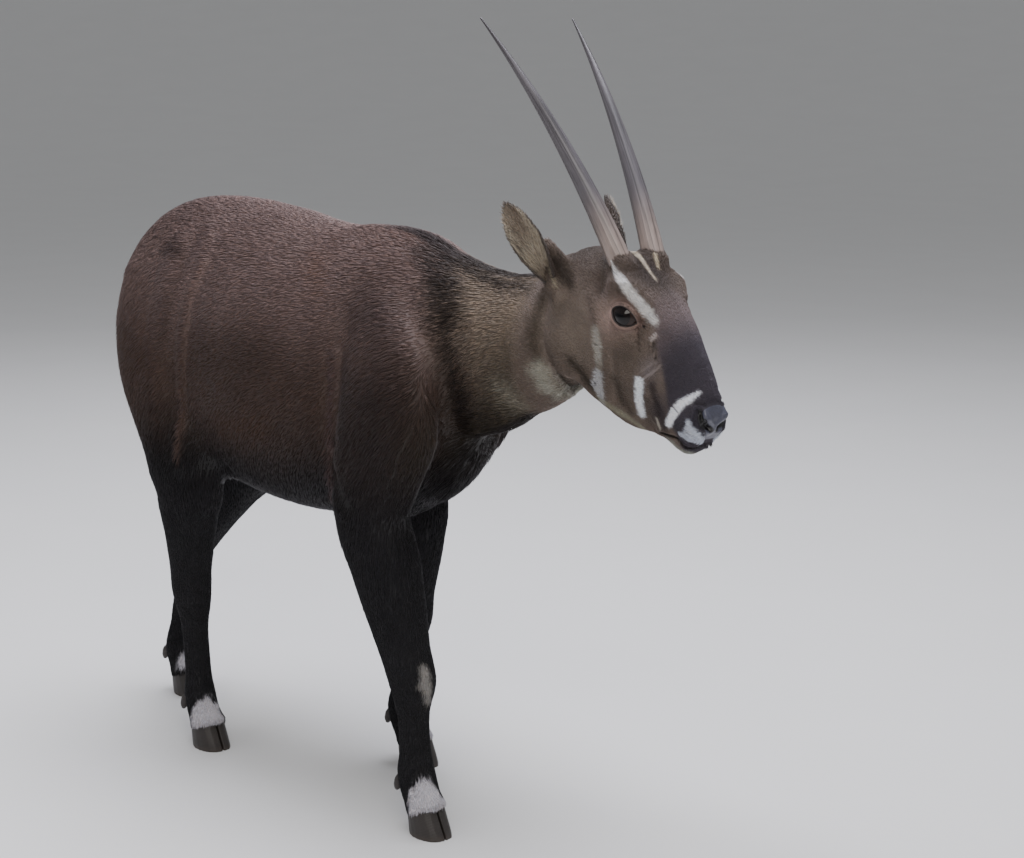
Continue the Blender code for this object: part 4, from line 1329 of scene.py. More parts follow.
def face_colour(points):
    """The colours of the head, with the dark bridge of the nose."""
    look = settings("coat")
    head = to_head(points)
    along, up = head[:, 0], head[:, 2]
    face = plain(look.face, points)
    folded = np.column_stack([along, np.abs(head[:, 1]), up])
    for centre, radii, new, share in HEAD_TINTS:
        face = tinted(face, share * soft_ball(folded, centre, radii), new)
    edge = BRIDGE_EDGE - BRIDGE_FALL * (along - BRIDGE_PLACE) + 0.004 * ripple(points, 0.016, 18)
    bridge = (ease(*BRIDGE_SEAM, up - edge) * ease(*BRIDGE_START, along))[:, None]
    dark = tinted(plain(linear("#665a5a"), points), ease(*BRIDGE_DARKER, along), look.bridge)
    face = face * (1 - bridge) + dark * bridge
    return tinted(face, ease(*NOSE_START, along) * ease(*NOSE_UNDER, up), "#38343c")


def with_pale_patches(points, colour):
    """The white hair over the hooves and the pale patch on the far knee."""
    upright = points * np.array((1.0, 1.0, SOCK_STREAK_LONG))
    streaks = SOCK_STREAKS * ripple(upright, 0.0045, 3)
    ragged = SOCK_RAGGED * ripple(points, 0.016, 19)
    for foot_x, foot_y in FEET.values():
        outward = foot_y + SOCK_OUT * math.copysign(1.0, foot_y)
        patch = soft_ball(points, (foot_x + SOCK_FORWARD, outward, SOCK_HEIGHT), SOCK_RADII)
        patch += ragged + streaks
        colour = tinted(colour, SOCK_SHOWS * ease(*SOCK_EDGE, patch), "#d2ced4")
    patch = soft_ball(points, FAR_KNEE, KNEE_RADII) + KNEE_RAGGED * ripple(points, 0.007, 3)
    return tinted(colour, KNEE_SHOWS * ease(*KNEE_EDGE, patch), "#8f8d90")


def with_marks(points, colour):
    """The marks of the coat, and the painted light and shade laid as marks, with edges as ragged as hair
    leaves them.
    """
    fine, finest = ripple(points, 0.0035, 4), ripple(points, 0.0010, 21)
    broad = ripple(points, 0.011, 20)
    for mark_colour, share, soft, line in built["marks"]:
        gap, half = line_distance(points, line)
        ragged = half - gap + MARK_RAGGED * soft * fine
        ragged += MARK_RAGGED_FINE * soft * finest + MARK_RAGGED_BROAD * half * broad
        edge = MARK_EDGE * soft
        colour = tinted(colour, share * ease(-edge, edge, ragged), mark_colour)
    return colour


def coat_colour(points):
    """The coat's colour at each point, the same for skin and hair, with its painted light and shade."""
    head_share = ease(*HEAD_COLOUR_SEAM, before_head(points))
    colour = body_colour(points, 1 - head_share)
    colour = colour * (1 - head_share[:, None]) + face_colour(points) * head_share[:, None]
    grain = 1.0 + 0.07 * ripple(points, 0.045, 1) + 0.06 * ripple(points, 0.013, 2)
    colour = with_pale_patches(points, colour * grain[:, None])
    colour = with_marks(points, colour)
    gap = lid_gap(points)
    colour = tinted(colour, 0.6 * ease(*LID_PALE, gap), "#957c73")
    # Painted shade in the fold round the lids.
    crease = np.exp(-(((gap - LID_CREASE) / LID_CREASE_HALF) ** 2))
    colour = tinted(colour, 0.5 * crease, "#3a2d2a")
    return tinted(colour, ease(*LID_DARK, gap), "#171213")


def lid_gap(points):
    """How far each point lies outside the opening of the nearer eye's lids."""
    radius = settings("eye").radius
    outline = over_ball(lid_outline(), radius)
    gap = np.full(len(points), FAR_AWAY)
    for side in SIDES.values():
        local = through(eye_frame(side).inverted(), points)
        reach = np.maximum(np.linalg.norm(local, axis=1), 1e-6)
        near = (reach < LID_GAP_REACH) & (local[:, 2] > 0.0)
        way = local[near] / reach[near, None]
        gap[near] = outline_gap(over_ball(way[:, :2] * radius, radius), outline)
    return gap


def bareness(points):
    """1 where the skin shows: nose, nostrils, lips and the edges of the lids."""
    head = to_head(points)
    across = np.abs(head[:, 1])
    low = (PAD_LEVEL - head[:, 2]).clip(0.0)
    nose = ease(*PAD_START, head[:, 0] + PAD_LEAN * low - 0.15 * (across - 0.010).clip(0.0))
    nose *= ease(*PAD_UNDER, head[:, 2]) * ease(*PAD_SIDES, across + PAD_LEAN * low)
    bare = nose * ease(-0.01, 0.0, before_head(points))
    for _, _, _, line in built["nostril"]:
        gap, half = line_distance(points, line)
        bare = np.maximum(bare, ease(*NOSTRIL_BARE, gap - half))
    return np.maximum(bare, ease(*LID_BARE, lid_gap(points)))


def across_normals(ways, normals, share=1.0):
    """Ways laid flat on the surface, or nearly so."""
    return unit(ways - normals * (ways * normals).sum(axis=1, keepdims=True) * share)


def hair_way(points, normals):
    """The way in which the hair lies at each point: back and down over the body, down
    the legs, and up the face."""
    head = to_head(points)
    x, y, z = points.T
    low = ease(*LOW_HEIGHTS, z)
    rump = ease(*RUMP_PLACES, x)
    flank = ease(*FLANK_SIDES, np.abs(y))
    fore = ease(*FORE_PLACES, x)
    way = np.zeros_like(points)
    way[:, 0] = -1.0 + HAIR_LESS_BACK * low + HAIR_LESS_BACK * rump
    way[:, 1] = np.sign(y) * HAIR_PARTS * (1 - flank)
    way[:, 2] = -flank * (HAIR_HANGS + LOW_HANGS * low + RUMP_HANGS * rump + FORE_HANGS * fore)
    leg = ease(*LEG_HAIR_HEIGHTS, z)[:, None]
    way = way * (1 - leg) + np.array(LEG_HAIR_WAY) * leg

    down = ease(*CHEEK_HEIGHTS, head[:, 2])
    lip = ease(*LIP_PLACES_ALONG, head[:, 0]) * ease(*LIP_HEIGHTS, head[:, 2])
    local = np.zeros_like(points)
    local[:, 0] = -1.0 + LIP_LESS_BACK * lip
    local[:, 1] = np.sign(head[:, 1]) * FACE_PARTS * ease(*FACE_PARTS_PLACES, head[:, 0])
    local[:, 2] = -CHEEK_HANGS * down - LIP_HANGS * lip
    turned = local @ np.array(on_head())[:3, :3].T
    share = ease(*HEAD_SEAM, before_head(points))[:, None]
    way = across_normals(unit(way) * (1 - share) + unit(turned) * share, normals)
    spin = sum(turn * ripple(points, size, seed) for turn, size, seed in HAIR_SWIRLS)
    return unit(way + np.cross(normals, way) * spin[:, None])


def hair_size(points, normals):
    """Length and width of a tuft at each point."""
    look = settings("coat")
    along_head = to_head(points)[:, 0]
    x, y, z = points.T
    head_share = ease(-0.03, 0.01, before_head(points))
    neck = ease(*NECK_HAIR_START, x + NECK_HAIR_LEAN * (z - NECK_LEVEL))
    neck = neck * ease(*NECK_HAIR_HEIGHTS, z)
    long = look.body_length + (look.neck_length - look.body_length) * neck
    crest = ease(*CREST_HAIR_SIDES, np.abs(y)) * ease(*FACING_UP, normals[:, 2])
    crest = crest * ease(*CREST_HAIR_START, x)
    long = long + (look.crest_length - long) * crest * (1 - head_share)
    under = ease(*FACING_DOWN, normals[:, 2]) * ease(*BELLY_HAIR_HEIGHTS, z)
    long = long * (1 + 0.20 * under)
    leg = ease(*SHORT_LEG_HEIGHTS, z)
    long = long + (look.leg_length - long) * leg
    face = look.face_length * (1.25 - 0.55 * ease(*FACE_HAIR_PLACES, along_head))
    face = face * (1 - 0.6 * ease(*LID_HAIR_GAP, lid_gap(points)))
    long = long + (face - long) * head_share
    wide = BODY_TUFT - LEG_THINNER * leg
    wide = wide + (FACE_TUFT - NOSE_THINNER * ease(0.15, 0.30, along_head) - wide) * head_share
    return long, wide


def triangles_of(obj):
    """The corners of each triangle: as points, and as places in the UV map."""
    obj.data.calc_loop_triangles()
    triangles = obj.data.loop_triangles
    uvs = read(obj.data.uv_layers[0].uv, "vector", 2)
    return read(triangles, "vertices", 3, np.int64), uvs[read(triangles, "loops", 3, np.int64)]


def scatter(obj, density_of, random):
    """Roots strewn over a mesh: places, normals and places in the UV map."""
    points, normals = points_of(obj), normals_of(obj)
    corners, uvs = triangles_of(obj)
    spots = points[corners]
    area = np.linalg.norm(np.cross(spots[:, 1] - spots[:, 0], spots[:, 2] - spots[:, 0]), axis=1) / 2
    wanted = area * density_of(spots.mean(axis=1), unit(normals[corners].mean(axis=1)))
    total = int(round(wanted.sum()))
    # One evenly spaced comb along all the triangles, shifted by a random part of a
    # tooth, spreads the roots more evenly than free draws would.
    comb = (np.arange(total) + random.random(total)) / total * wanted.sum()
    chosen = np.searchsorted(np.cumsum(wanted), comb).clip(0, len(area) - 1)
    a, b = random.random(total), random.random(total)
    over = a + b > 1
    a[over], b[over] = 1 - a[over], 1 - b[over]
    shares = np.column_stack([1 - a - b, a, b])
    place = (spots[chosen] * shares[:, :, None]).sum(axis=1)
    normal = unit((normals[corners[chosen]] * shares[:, :, None]).sum(axis=1))
    uv = (uvs[chosen] * shares[:, :, None]).sum(axis=1)
    return place, normal, uv


# A tuft is a closed spindle of five points: a sunk root, the two flanks and the ridge of its middle, and
# a tip. Each is painted darker towards the root as painted shade and lighter at the tip as painted light,
# and has its place in the UV map.
TUFT_FACES = ((0, 3, 1), (0, 2, 3), (0, 1, 2), (4, 1, 3), (4, 3, 2), (4, 2, 1))
TUFT_PAINTED_SHADES = (0.82, 0.97, 0.97, 1.0, 1.10)
TUFT_UV = ((0, -1), (-1, 0), (1, 0), (0, 0), (0, 1))
TUFT_UV_SIZE = 0.0015
# Shares of a tuft's length: how far its root starts behind its place, and how far along
# its middle lies.
TUFT_BEHIND = 0.05
TUFT_MIDDLE = 0.42
TUFT_SINK = 0.0005
# How thick a tuft is for its width, how much its bend, tone and warmth differ, and how
# warmth leans on red, green and blue.
TUFT_THICK = 0.34
TUFT_BEND = 0.06
TUFT_TONE = 0.075
TUFT_WARMTH = 0.025
WARMTH = (1.0, 0.1, -0.8)


def lay_tufts(name, places, normals, ways, long, wide, colours, uvs, random, rise=0.08, curl=0.0):
    """One mesh of closed spindles, each a tuft that lies along the body."""
    count = len(places)
    across = np.cross(normals, ways)
    bend = across * (random.normal(0.0, TUFT_BEND + curl, count) * long)[:, None]
    lift = normals * (long * rise * random.uniform(0.6, 1.4, count))[:, None]
    middle = places + ways * (TUFT_MIDDLE * long)[:, None] + 0.55 * lift + 0.25 * bend
    half = across * (wide / 2)[:, None]
    spots = np.empty((count, 5, 3))
    spots[:, 0] = places - normals * TUFT_SINK - ways * (TUFT_BEHIND * long)[:, None]
    spots[:, 1] = middle + half
    spots[:, 2] = middle - half
    spots[:, 3] = middle + normals * (wide * TUFT_THICK)[:, None]
    spots[:, 4] = places + ways * long[:, None] + 0.8 * lift + bend
    faces = np.array(TUFT_FACES)
    loops = (faces[None] + 5 * np.arange(count)[:, None, None]).reshape(-1)

    mesh = bpy.data.meshes.new(name)
    mesh.vertices.add(5 * count)
    mesh.vertices.foreach_set("co", spots.astype(np.float32).ravel())
    mesh.loops.add(len(loops))
    mesh.loops.foreach_set("vertex_index", loops.astype(np.int32))
    mesh.polygons.add(len(loops) // 3)
    mesh.polygons.foreach_set("loop_start", np.arange(0, len(loops), 3, dtype=np.int32))
    mesh.update(calc_edges=True)
    made = bpy.data.objects.new(name, mesh)
    bpy.context.scene.collection.objects.link(made)
    smooth_shaded(made)

    tone = random.normal(1.0, TUFT_TONE, count)
    warm = random.normal(0.0, TUFT_WARMTH, count)
    # Painted shade at each tuft's root and painted light at its tip.
    tints = colours[:, None, :] * (tone[:, None] * np.array(TUFT_PAINTED_SHADES)[None])[:, :, None]
    tints = tints * (1.0 + warm[:, None] * np.array(WARMTH))[:, None, :]
    paint(made, np.clip(tints, 0.0, 1.0).reshape(-1, 3))
    patch = TUFT_UV_SIZE * np.array(TUFT_UV)
    spread = uvs[:, None, None, :] + patch[faces][None]
    layer = mesh.uv_layers.new(name="OFBake")
    layer.uv.foreach_set("vector", spread.astype(np.float32).ravel())
    return made


def hair_material(name, sheen, tint, roughness, gloss=0.3):
    """Hair: coloured by each tuft's own colour, with fine darker and lighter strands."""
    made, tree = new_material(name)
    # Strands 1.5 mm wide, as coarse as they need to be to show.
    strands = noise(tree, object_places(tree), 650.0, 2.0, 0.6)
    shade(tree, {
        "Base Color": multiplied(tree, painted(tree), ranged(tree, strands, 0.72, 1.25)),
        "Roughness": roughness, "Specular IOR Level": gloss, "Sheen Weight": sheen,
        "Sheen Roughness": 0.42, "Sheen Tint": (*linear(tint), 1.0)})
    return made


def skin_material():
    """Skin under the coat: the coat's colour, painted darker as shade under the hair so that the hair has
    depth; bare and moist on nose and lids."""
    made, tree = new_material("skin_under_hair")
    # Fine pores and hair roots about 1 mm apart.
    pores = noise(tree, object_places(tree), 900.0, 3.0)
    shade(tree, {"Base Color": painted(tree), "Roughness": 0.62, "Specular IOR Level": 0.3,
                 "Normal": bumped(tree, pores, 0.4, 0.0006)})
    return made


class SAOLA_OT_skin(bpy.types.Operator):
    """Grow the skin over the frame's flesh, sculpt it and give it its markings, with painted light and
    shade
    """

    bl_idname = "saola.skin"
    bl_label = "Skin"

    def execute(self, context):
        skin = grow_skin()
        surface = surface_of(skin)
        # The marks include painted light and shade, laid on the skin as lines.
        built["marks"] = cast_marks(surface, LIGHT_SHADE_AND_TONE_MARKS + MARKS + DARK_MARKS)
        built["nostril"] = cast_marks(surface, (NOSTRIL_MARK,))
        points = points_of(skin)
        bare = bareness(points)[:, None]
        # The skin is painted darker where hair grows, as painted shade under the coat.
        paint(skin, coat_colour(points) * (0.80 + 0.20 * bare))
        skin.data.materials.append(skin_material())
        finished(skin, "coat_body", *FLESH)
        built["skin"] = skin
        return {"FINISHED"}


# The parts of the coat: name, slot and the number of pieces.
COAT_PARTS = (
    ("coat_head", "coat_face", 3),
    ("coat_neck", "coat_neck", 1),
    ("coat_body", "coat_body", 3),
    ("coat_legs", "coat_leg", 3),
)
# The neck's coat starts here along x, and the legs' coat lies under this height.
NECK_COAT_START = 0.20
LEG_COAT_TOP = 0.40
# The coat thins out where the skin is this bare, and the tufts differ in length and
# width by these shares.
COAT_THINS = (0.2, 0.7)
TUFT_LENGTHS, TUFT_WIDTHS = (0.75, 1.2), (0.8, 1.25)


class SAOLA_OT_coat(bpy.types.Operator):
    """Lay the coat on the skin, tuft by tuft, along the way the hair grows"""

    bl_idname = "saola.coat"
    bl_label = "Coat"

    def execute(self, context):
        random = np.random.default_rng(SEED)
        skin = built["skin"]
        look = settings("coat")
        cover = look.cover * 1.0

        def density(places, normals):
            long, wide = hair_size(places, normals)
            return cover * (1 - ease(*COAT_THINS, bareness(places))) / (0.5 * long * wide)

        places, normals, uvs = scatter(skin, density, random)
        ways = hair_way(places, normals)
        long, wide = hair_size(places, normals)
        long = long * random.uniform(*TUFT_LENGTHS, len(long))
        wide = wide * random.uniform(*TUFT_WIDTHS, len(wide))
        colours = coat_colour(places)
        body = np.where(places[:, 0] > NECK_COAT_START, 1, 2)
        off_head = np.where(places[:, 2] < LEG_COAT_TOP, 3, body)
        part = np.where(before_head(places) > 0.0, 0, off_head)
        sleek = hair_material("short_glossy_hair", sheen=0.05, tint="#b3a4b2",
                              roughness=0.42, gloss=0.11)
        black = hair_material("close_black_hair", sheen=0.03, tint="#a7a7b2",
                              roughness=0.46, gloss=0.12)
        velvet = hair_material("velvety_face_hair", sheen=0.07, tint="#b0a6a6",
                               roughness=0.55, gloss=0.14)
        finishes = {"coat_face": velvet, "coat_neck": sleek, "coat_body": sleek, "coat_leg": black}
        for index, (name, slot, count) in enumerate(COAT_PARTS):
            of_part = np.nonzero(part == index)[0]
            order = of_part[np.argsort(places[of_part, 0], kind="stable")]
            for number, some in enumerate(np.array_split(order, count)):
                piece = lay_tufts(f"{name}_{number + 1}", places[some], normals[some], ways[some],
                                  long[some], wide[some], colours[some], uvs[some], random)
                piece.data.materials.append(finishes[slot])
                finished(piece, slot)
        return {"FINISHED"}


def extruded_tube(name, rings):
    """A tube drawn as by hand: a circle, extruded once for each further ring of points
    and closed at both ends."""
    count = len(rings[0])
    bpy.ops.object.select_all(action="DESELECT")
    bpy.ops.mesh.primitive_circle_add(vertices=count, radius=1.0, fill_type="NOTHING")
    made = bpy.context.object
    made.name = made.data.name = name
    set_points(made, np.array(rings[0]))
    bpy.ops.object.mode_set(mode="EDIT")
    bpy.ops.mesh.select_mode(type="VERT")
    bpy.ops.mesh.select_all(action="SELECT")
    for _ in rings[1:]:
        bpy.ops.mesh.extrude_region_move()
    end_edit()
    set_points(made, np.concatenate([np.array(ring) for ring in rings]))
    bpy.ops.object.mode_set(mode="EDIT")
    bpy.ops.mesh.select_all(action="DESELECT")
    bpy.ops.mesh.select_non_manifold()
    bpy.ops.mesh.fill_holes(sides=count)
    bpy.ops.mesh.select_all(action="SELECT")
    bpy.ops.mesh.normals_make_consistent(inside=False)
    end_edit()
    smooth_shaded(made)
    return made


def ring_round(centre, across, upward, half, reach, count):
    turns = 2 * math.pi * np.arange(count) / count
    return (np.array(centre) + np.outer(np.cos(turns) * half, across)
            + np.outer(np.sin(turns) * reach, upward))


# The eyeball's points, by their distance from its axis: the cornea stands out, and the
# iris ends in a dark ring. The pupil is a level oval.
CORNEA_REACH, CORNEA_HEIGHT = 0.0115, 0.0013
IRIS_EDGE = (0.0122, 0.0112)
IRIS_RING, IRIS_RING_HALF = 0.0117, 0.0009
PUPIL_HALF = (0.0078, 0.0040)
PUPIL_EDGE = (1.12, 0.9)
# The lid's bare rim lies this far over the ball and outside its opening.
RIM_OVER, RIM_OUT = 0.75 * MM, 0.5 * MM
RIM_HALF, RIM_THINNER = 0.62 * MM, 0.22 * MM
# The lashes stand along the upper lid between these turns, and point out, up and a
# little forwards.
LASHES = 64
LASH_TURNS = (0.06 * math.pi, 0.94 * math.pi)
LASH_LENGTH = (0.005, 0.009)
LASH_WIDTH = 0.0005
LASH_OVER, LASH_LIFT = 1.5 * MM, 0.6 * MM
LASH_OUT, LASH_WAY = 0.8, (0.15, 0.45, 0.0)
# The ball's grain, and how much the fibres of the iris show and their width in radians.
EYE_SEGMENTS, EYE_RINGS = 96, 72
FIBRES_SHOW, FIBRES_WIDE = 0.25, 0.12


def eyeball_material():
    """Wet and clear over the dark iris, so that it mirrors the lights sharply."""
    made, tree = new_material("wet_eyeball")
    shade(tree, {"Base Color": painted(tree), "Roughness": 0.06, "IOR": 1.36})
    return made


def lid_material(colour):
    """Dark bare skin with fine creases, a little moist."""
    made, tree = new_material("dark_bare_lid")
    creases = noise(tree, object_places(tree), 1200.0)
    shade(tree, {"Base Color": (*colour, 1.0), "Roughness": 0.36,
                 "Normal": bumped(tree, creases, 0.35, 0.0004)})
    return made


def make_eyeball(label, side, look):
    """The eyeball, with its cornea, iris and pupil."""
    ball = sphere_of(look.radius - 0.1 * MM, EYE_SEGMENTS, EYE_RINGS)
    ball.name = ball.data.name = "eyeball_" + label
    points = points_of(ball)
    x, y, _ = points.T
    front = points[:, 2] > 0
    away = np.hypot(x, y)
    points[:, 2] += CORNEA_HEIGHT * ease(CORNEA_REACH, 0.0, away) * front
    turns = np.column_stack([np.arctan2(y, x), 0 * away, 0 * away])
    fibre = 1 + FIBRES_SHOW * ripple(turns, FIBRES_WIDE, 7)
    iris = ease(*IRIS_EDGE, away) * front
    colour = tinted(plain(linear("#2a1e1a"), points), iris, look.iris) * fibre[:, None]
    colour = tinted(colour, np.exp(-(((away - IRIS_RING) / IRIS_RING_HALF) ** 2)) * 0.8, "#060507")
    pupil = ease(*PUPIL_EDGE, np.hypot(x / PUPIL_HALF[0], y / PUPIL_HALF[1])) * front
    paint(ball, tinted(colour, pupil, look.pupil))
    set_points(ball, through(eye_frame(side), points))
    smooth_shaded(ball)
    return ball


def make_lid_rim(label, side, outline, radius):
    """The bare edge of the lids: a closed tube round the opening."""
    rings = []
    for k, (x, y) in enumerate(outline):
        spot = Vector((x, y, math.sqrt(max(radius**2 - x * x - y * y, 1e-10)))).normalized()
        after = outline[(k + 1) % len(outline)] - outline[k - 1]
        along = Vector((after[0], after[1], 0.0))
        along = (along - spot * along.dot(spot)).normalized()
        outward = along.cross(spot)
        corner = abs(math.cos(2 * math.pi * k / len(outline))) ** 6
        half = RIM_HALF - RIM_THINNER * corner
        centre = spot * (radius + RIM_OVER) + outward * RIM_OUT
        ring = ring_round(centre, outward, spot, half, 1.2 * half, 12)
        rings.append(through(eye_frame(side), ring))
    rim = extruded_tube("lid_rim_" + label, rings + [rings[0]])
    with opened(rim) as bm:
        caps = [face for face in bm.faces if len(face.verts) > 4]
        bmesh.ops.delete(bm, geom=caps, context="FACES_ONLY")
        bmesh.ops.remove_doubles(bm, verts=bm.verts, dist=MERGE)
        bmesh.ops.recalc_face_normals(bm, faces=bm.faces)
    return rim


def make_lashes(label, side, outline, radius, random):
    """Short stiff lashes along the upper lid."""
    turns = random.uniform(*LASH_TURNS, LASHES)
    flat = outline[(turns / (2 * math.pi) * len(outline)).astype(int)]
    depth = np.sqrt(np.maximum(radius**2 - (flat**2).sum(axis=1), 1e-10))
    ways = unit(np.column_stack([flat, depth]))
    roots = ways * (radius + LASH_OVER) + LASH_LIFT * ways
    out = unit(ways * LASH_OUT + np.array(LASH_WAY))
    normals = unit(np.cross(out, np.cross(np.array((0.0, 1.0, 0.4)), out)))
    place = eye_frame(side)
    turn = np.array(place)[:3, :3].T
    long = random.uniform(*LASH_LENGTH, LASHES)
    return lay_tufts("lashes_" + label, through(place, roots), normals @ turn, out @ turn, long,
                     np.full(LASHES, LASH_WIDTH), plain(linear("#1a1615"), roots),
                     np.zeros((LASHES, 2)), random)


class SAOLA_OT_eyes(bpy.types.Operator):
    """Make the eyeballs, the bare edges of the lids and the lashes"""

    bl_idname = "saola.eyes"
    bl_label = "Eyes"

    def execute(self, context):
        look = settings("eye")
        random = np.random.default_rng(SEED + 1)
        ball_finish, lid_finish = eyeball_material(), lid_material(look.lid)
        lash_finish = hair_material("black_lashes", sheen=0.1, tint="#8f8a90", roughness=0.4)
        outline = lid_outline(96)
        for label, side in SIDES.items():
            ball = make_eyeball(label, side, look)
            ball.data.materials.append(ball_finish)
            finished(ball, "eye", "eye_" + label)
            rim = make_lid_rim(label, side, outline, look.radius)
            rim.data.materials.append(lid_finish)
            finished(rim, "nose_skin")
            lashes = make_lashes(label, side, outline, look.radius, random)
            lashes.data.materials.append(lash_finish)
            finished(lashes, "coat_face")
        return {"FINISHED"}


HORN_STEPS, HORN_SIDES = 132, 48
# How far the horn's root is buried, in lengths of the horn.
HORN_BURIED = 0.03
# The growth rings are worn, and only show on this lowest share of the horn.
HORN_RINGED = 0.32
HORN_RINGS, HORN_RING_DEPTH = 24, 0.014
HORN_TAPER, HORN_TAPER_POWER = 0.93, 1.1
# Half the horn's width across and along its bow, in radii.
HORN_OVAL = (0.94, 1.05)
# Grooves along the horn: how deep they are and how many go round it. The broad ones
# twist by so many radians, and all are deepened by the last number.
GROOVE_BROAD, GROOVES_BROAD, GROOVE_TWIST = 0.016, 9, 5
GROOVE_FINE, GROOVES_FINE = 0.008, 17
GROOVE_CUT = 1.6
# Shares of the horn's length over which its colours pass: brown root, dark tip, streaks.
HORN_BROWN = (0.26, 0.0)
HORN_DARK = (0.72, 1.0)
HORN_STREAKED = (0.9, 0.1)
STREAKS_SHOW, STREAKS_WIDE, STREAKS_LONG = 0.16, 0.16, 2.2
# The horn's rear, lower side, turned from the light above, is painted darker as painted shade, by the
# sine of the turn round it.
HORN_REAR, HORN_REAR_SHOWS = (-0.2, -0.95), 0.6


def horn_rings(side):
    """Rings of a horn on the head, root first, with each ring's share of the length."""
    look = settings("horn")
    way, bow = horn_ways(side)
    bow = bow.normalized()
    across = way.cross(bow).normalized()
    root = sided(HORN_PLACE, side)
    shares = -HORN_BURIED + (1 + HORN_BURIED) * np.linspace(0.0, 1.0, HORN_STEPS)
    turns = 2 * math.pi * np.arange(HORN_SIDES) / HORN_SIDES
    rings = []
    for s in shares:
        centre = root + way * look.length * s + bow * HORN_BOW * 4 * s * (1 - s)
        radius = look.radius * (1.0 - HORN_TAPER * max(s, 0.0) ** HORN_TAPER_POWER)
        low = max(0.0, 1.0 - max(s, 0.0) / HORN_RINGED)
        # Worn growth rings, and shallow grooves along the horn.
        ring = 0.5 + 0.5 * math.cos(2 * math.pi * s * HORN_RINGS)
        wave = 1.0 - HORN_RING_DEPTH * low * ring
        groove = GROOVE_BROAD * low**0.5 * np.cos(turns * GROOVES_BROAD + GROOVE_TWIST * s)
        groove = groove + GROOVE_FINE * np.cos(turns * GROOVES_FINE)
        reach = radius * wave * (1.0 + np.minimum(groove, 0.0) * GROOVE_CUT)
        places_on_head = (np.array(centre) + np.outer(np.cos(turns) * reach * HORN_OVAL[0], across)
                          + np.outer(np.sin(turns) * reach * HORN_OVAL[1], bow))
        rings.append(through(on_head(), places_on_head))
    return rings, shares


def horn_material():
    """Polished keratin: satin, streaked by its fibres and cracked along its length."""
    made, tree = new_material("polished_keratin")
    lines = put(tree, "ShaderNodeUVMap", uv_map="Grain"), "UV"
    # Keratin fibres about 0.6 mm wide that run along the horn for some 40 mm.
    fibres = noise(tree, stretched(tree, lines, (900.0, 24.0, 1.0)), 1.0, 5.0, 0.62)
    # Long dark cracks some 3 mm apart.
    cracks = noise(tree, stretched(tree, lines, (330.0, 8.0, 1.0)), 1.0, 4.0, 0.55)
    colour = multiplied(tree, painted(tree), ranged(tree, fibres, 0.78, 1.2, 0.3, 0.7))
    colour = multiplied(tree, colour, ranged(tree, cracks, 1.0, 0.42, 0.50, 0.62))
    shade(tree, {"Base Color": colour, "Roughness": ranged(tree, fibres, 0.30, 0.48),
                 "IOR": 1.54, "Normal": bumped(tree, fibres, 0.25, 0.0006)})
    return made


def horn_colour(points, s, turn):
    """Brown at the root, grey along the shaft, darker at the tip, and painted darker behind as painted
    shade.
    """
    look = settings("horn")
    colour = plain(look.shaft, points)
    colour = tinted(colour, ease(*HORN_BROWN, s), look.root)
    colour = tinted(colour, ease(*HORN_DARK, s), look.tip)
    round_horn = np.column_stack([np.cos(turn), np.sin(turn), STREAKS_LONG * s])
    streak = ripple(round_horn, STREAKS_WIDE, 8)
    colour = colour * (1.0 + STREAKS_SHOW * streak * ease(*HORN_STREAKED, s))[:, None]
    # Painted shade on the horn's rear, lower side.
    colour = tinted(colour, HORN_REAR_SHOWS * ease(*HORN_REAR, np.sin(turn)), "#2f292b")
    return colour * (1 + 0.05 * ripple(points, 0.012, 9))[:, None]


def lay_grain(horn, shares):
    """A UV map in metres round and along the horn, which its grain follows."""
    look = settings("horn")
    points, starts = corners_of(horn)
    ring_of, spot_of = points // HORN_SIDES, points % HORN_SIDES
    last = np.maximum.reduceat(spot_of, starts)
    sizes = np.diff(np.append(starts, len(points)))
    wraps = np.repeat(last == HORN_SIDES - 1, sizes) & (spot_of == 0)
    around = (spot_of + HORN_SIDES * wraps) / HORN_SIDES * 2 * math.pi * look.radius
    along = shares[np.minimum(ring_of, len(shares) - 1)] * look.length
    layer = horn.data.uv_layers.new(name="Grain")
    layer.uv.foreach_set("vector", np.column_stack([around, along]).astype(np.float32).ravel())


class SAOLA_OT_horns(bpy.types.Operator):
    """Make the two long horns"""

    bl_idname = "saola.horns"
    bl_label = "Horns"

    def execute(self, context):
        finish = horn_material()
        for label, side in SIDES.items():
            rings, shares = horn_rings(side)
            horn = extruded_tube("horn_" + label + "_dressed", rings)
            points = points_of(horn)
            s = np.repeat(shares, HORN_SIDES)[: len(points)].clip(0, 1)
            turns = 2 * math.pi * np.arange(HORN_SIDES) / HORN_SIDES
            turn = np.tile(turns, len(shares))[: len(points)]
            paint(horn, horn_colour(points, s, turn))
            lay_grain(horn, shares)
            horn.data.materials.append(finish)
            finished(horn, "horn", "horn_" + label)
        return {"FINISHED"}


def smooth_rows(rows, steps):
    """Rows of numbers with more rows between them, on a smooth curve through all."""
    given = np.array(rows, float)
    ends = np.vstack([2 * given[0] - given[1], given, 2 * given[-1] - given[-2]])
    out = []
    for i in range(len(given) - 1):
        a, b, c, d = ends[i : i + 4]
        for t in np.arange(steps) / steps:
            bend = (2 * a - 5 * b + 4 * c - d) * t**2
            twist = (3 * b - a - 3 * c + d) * t**3
            out.append(0.5 * (2 * b + (c - a) * t + bend + twist))
    out.append(given[-1])
    return np.array(out)


EAR_ROW_STEPS, EAR_ACROSS_STEPS = 8, 20
EAR_EDGE_COLOUR = "#2f2722"
EAR_EDGE = (0.84, 0.97)
# The ear's hair: how closely it is laid, for tufts of this length and width.
EAR_COVER, EAR_TUFT_LENGTH, EAR_TUFT_WIDTH = 1.5, 0.010, 0.0012
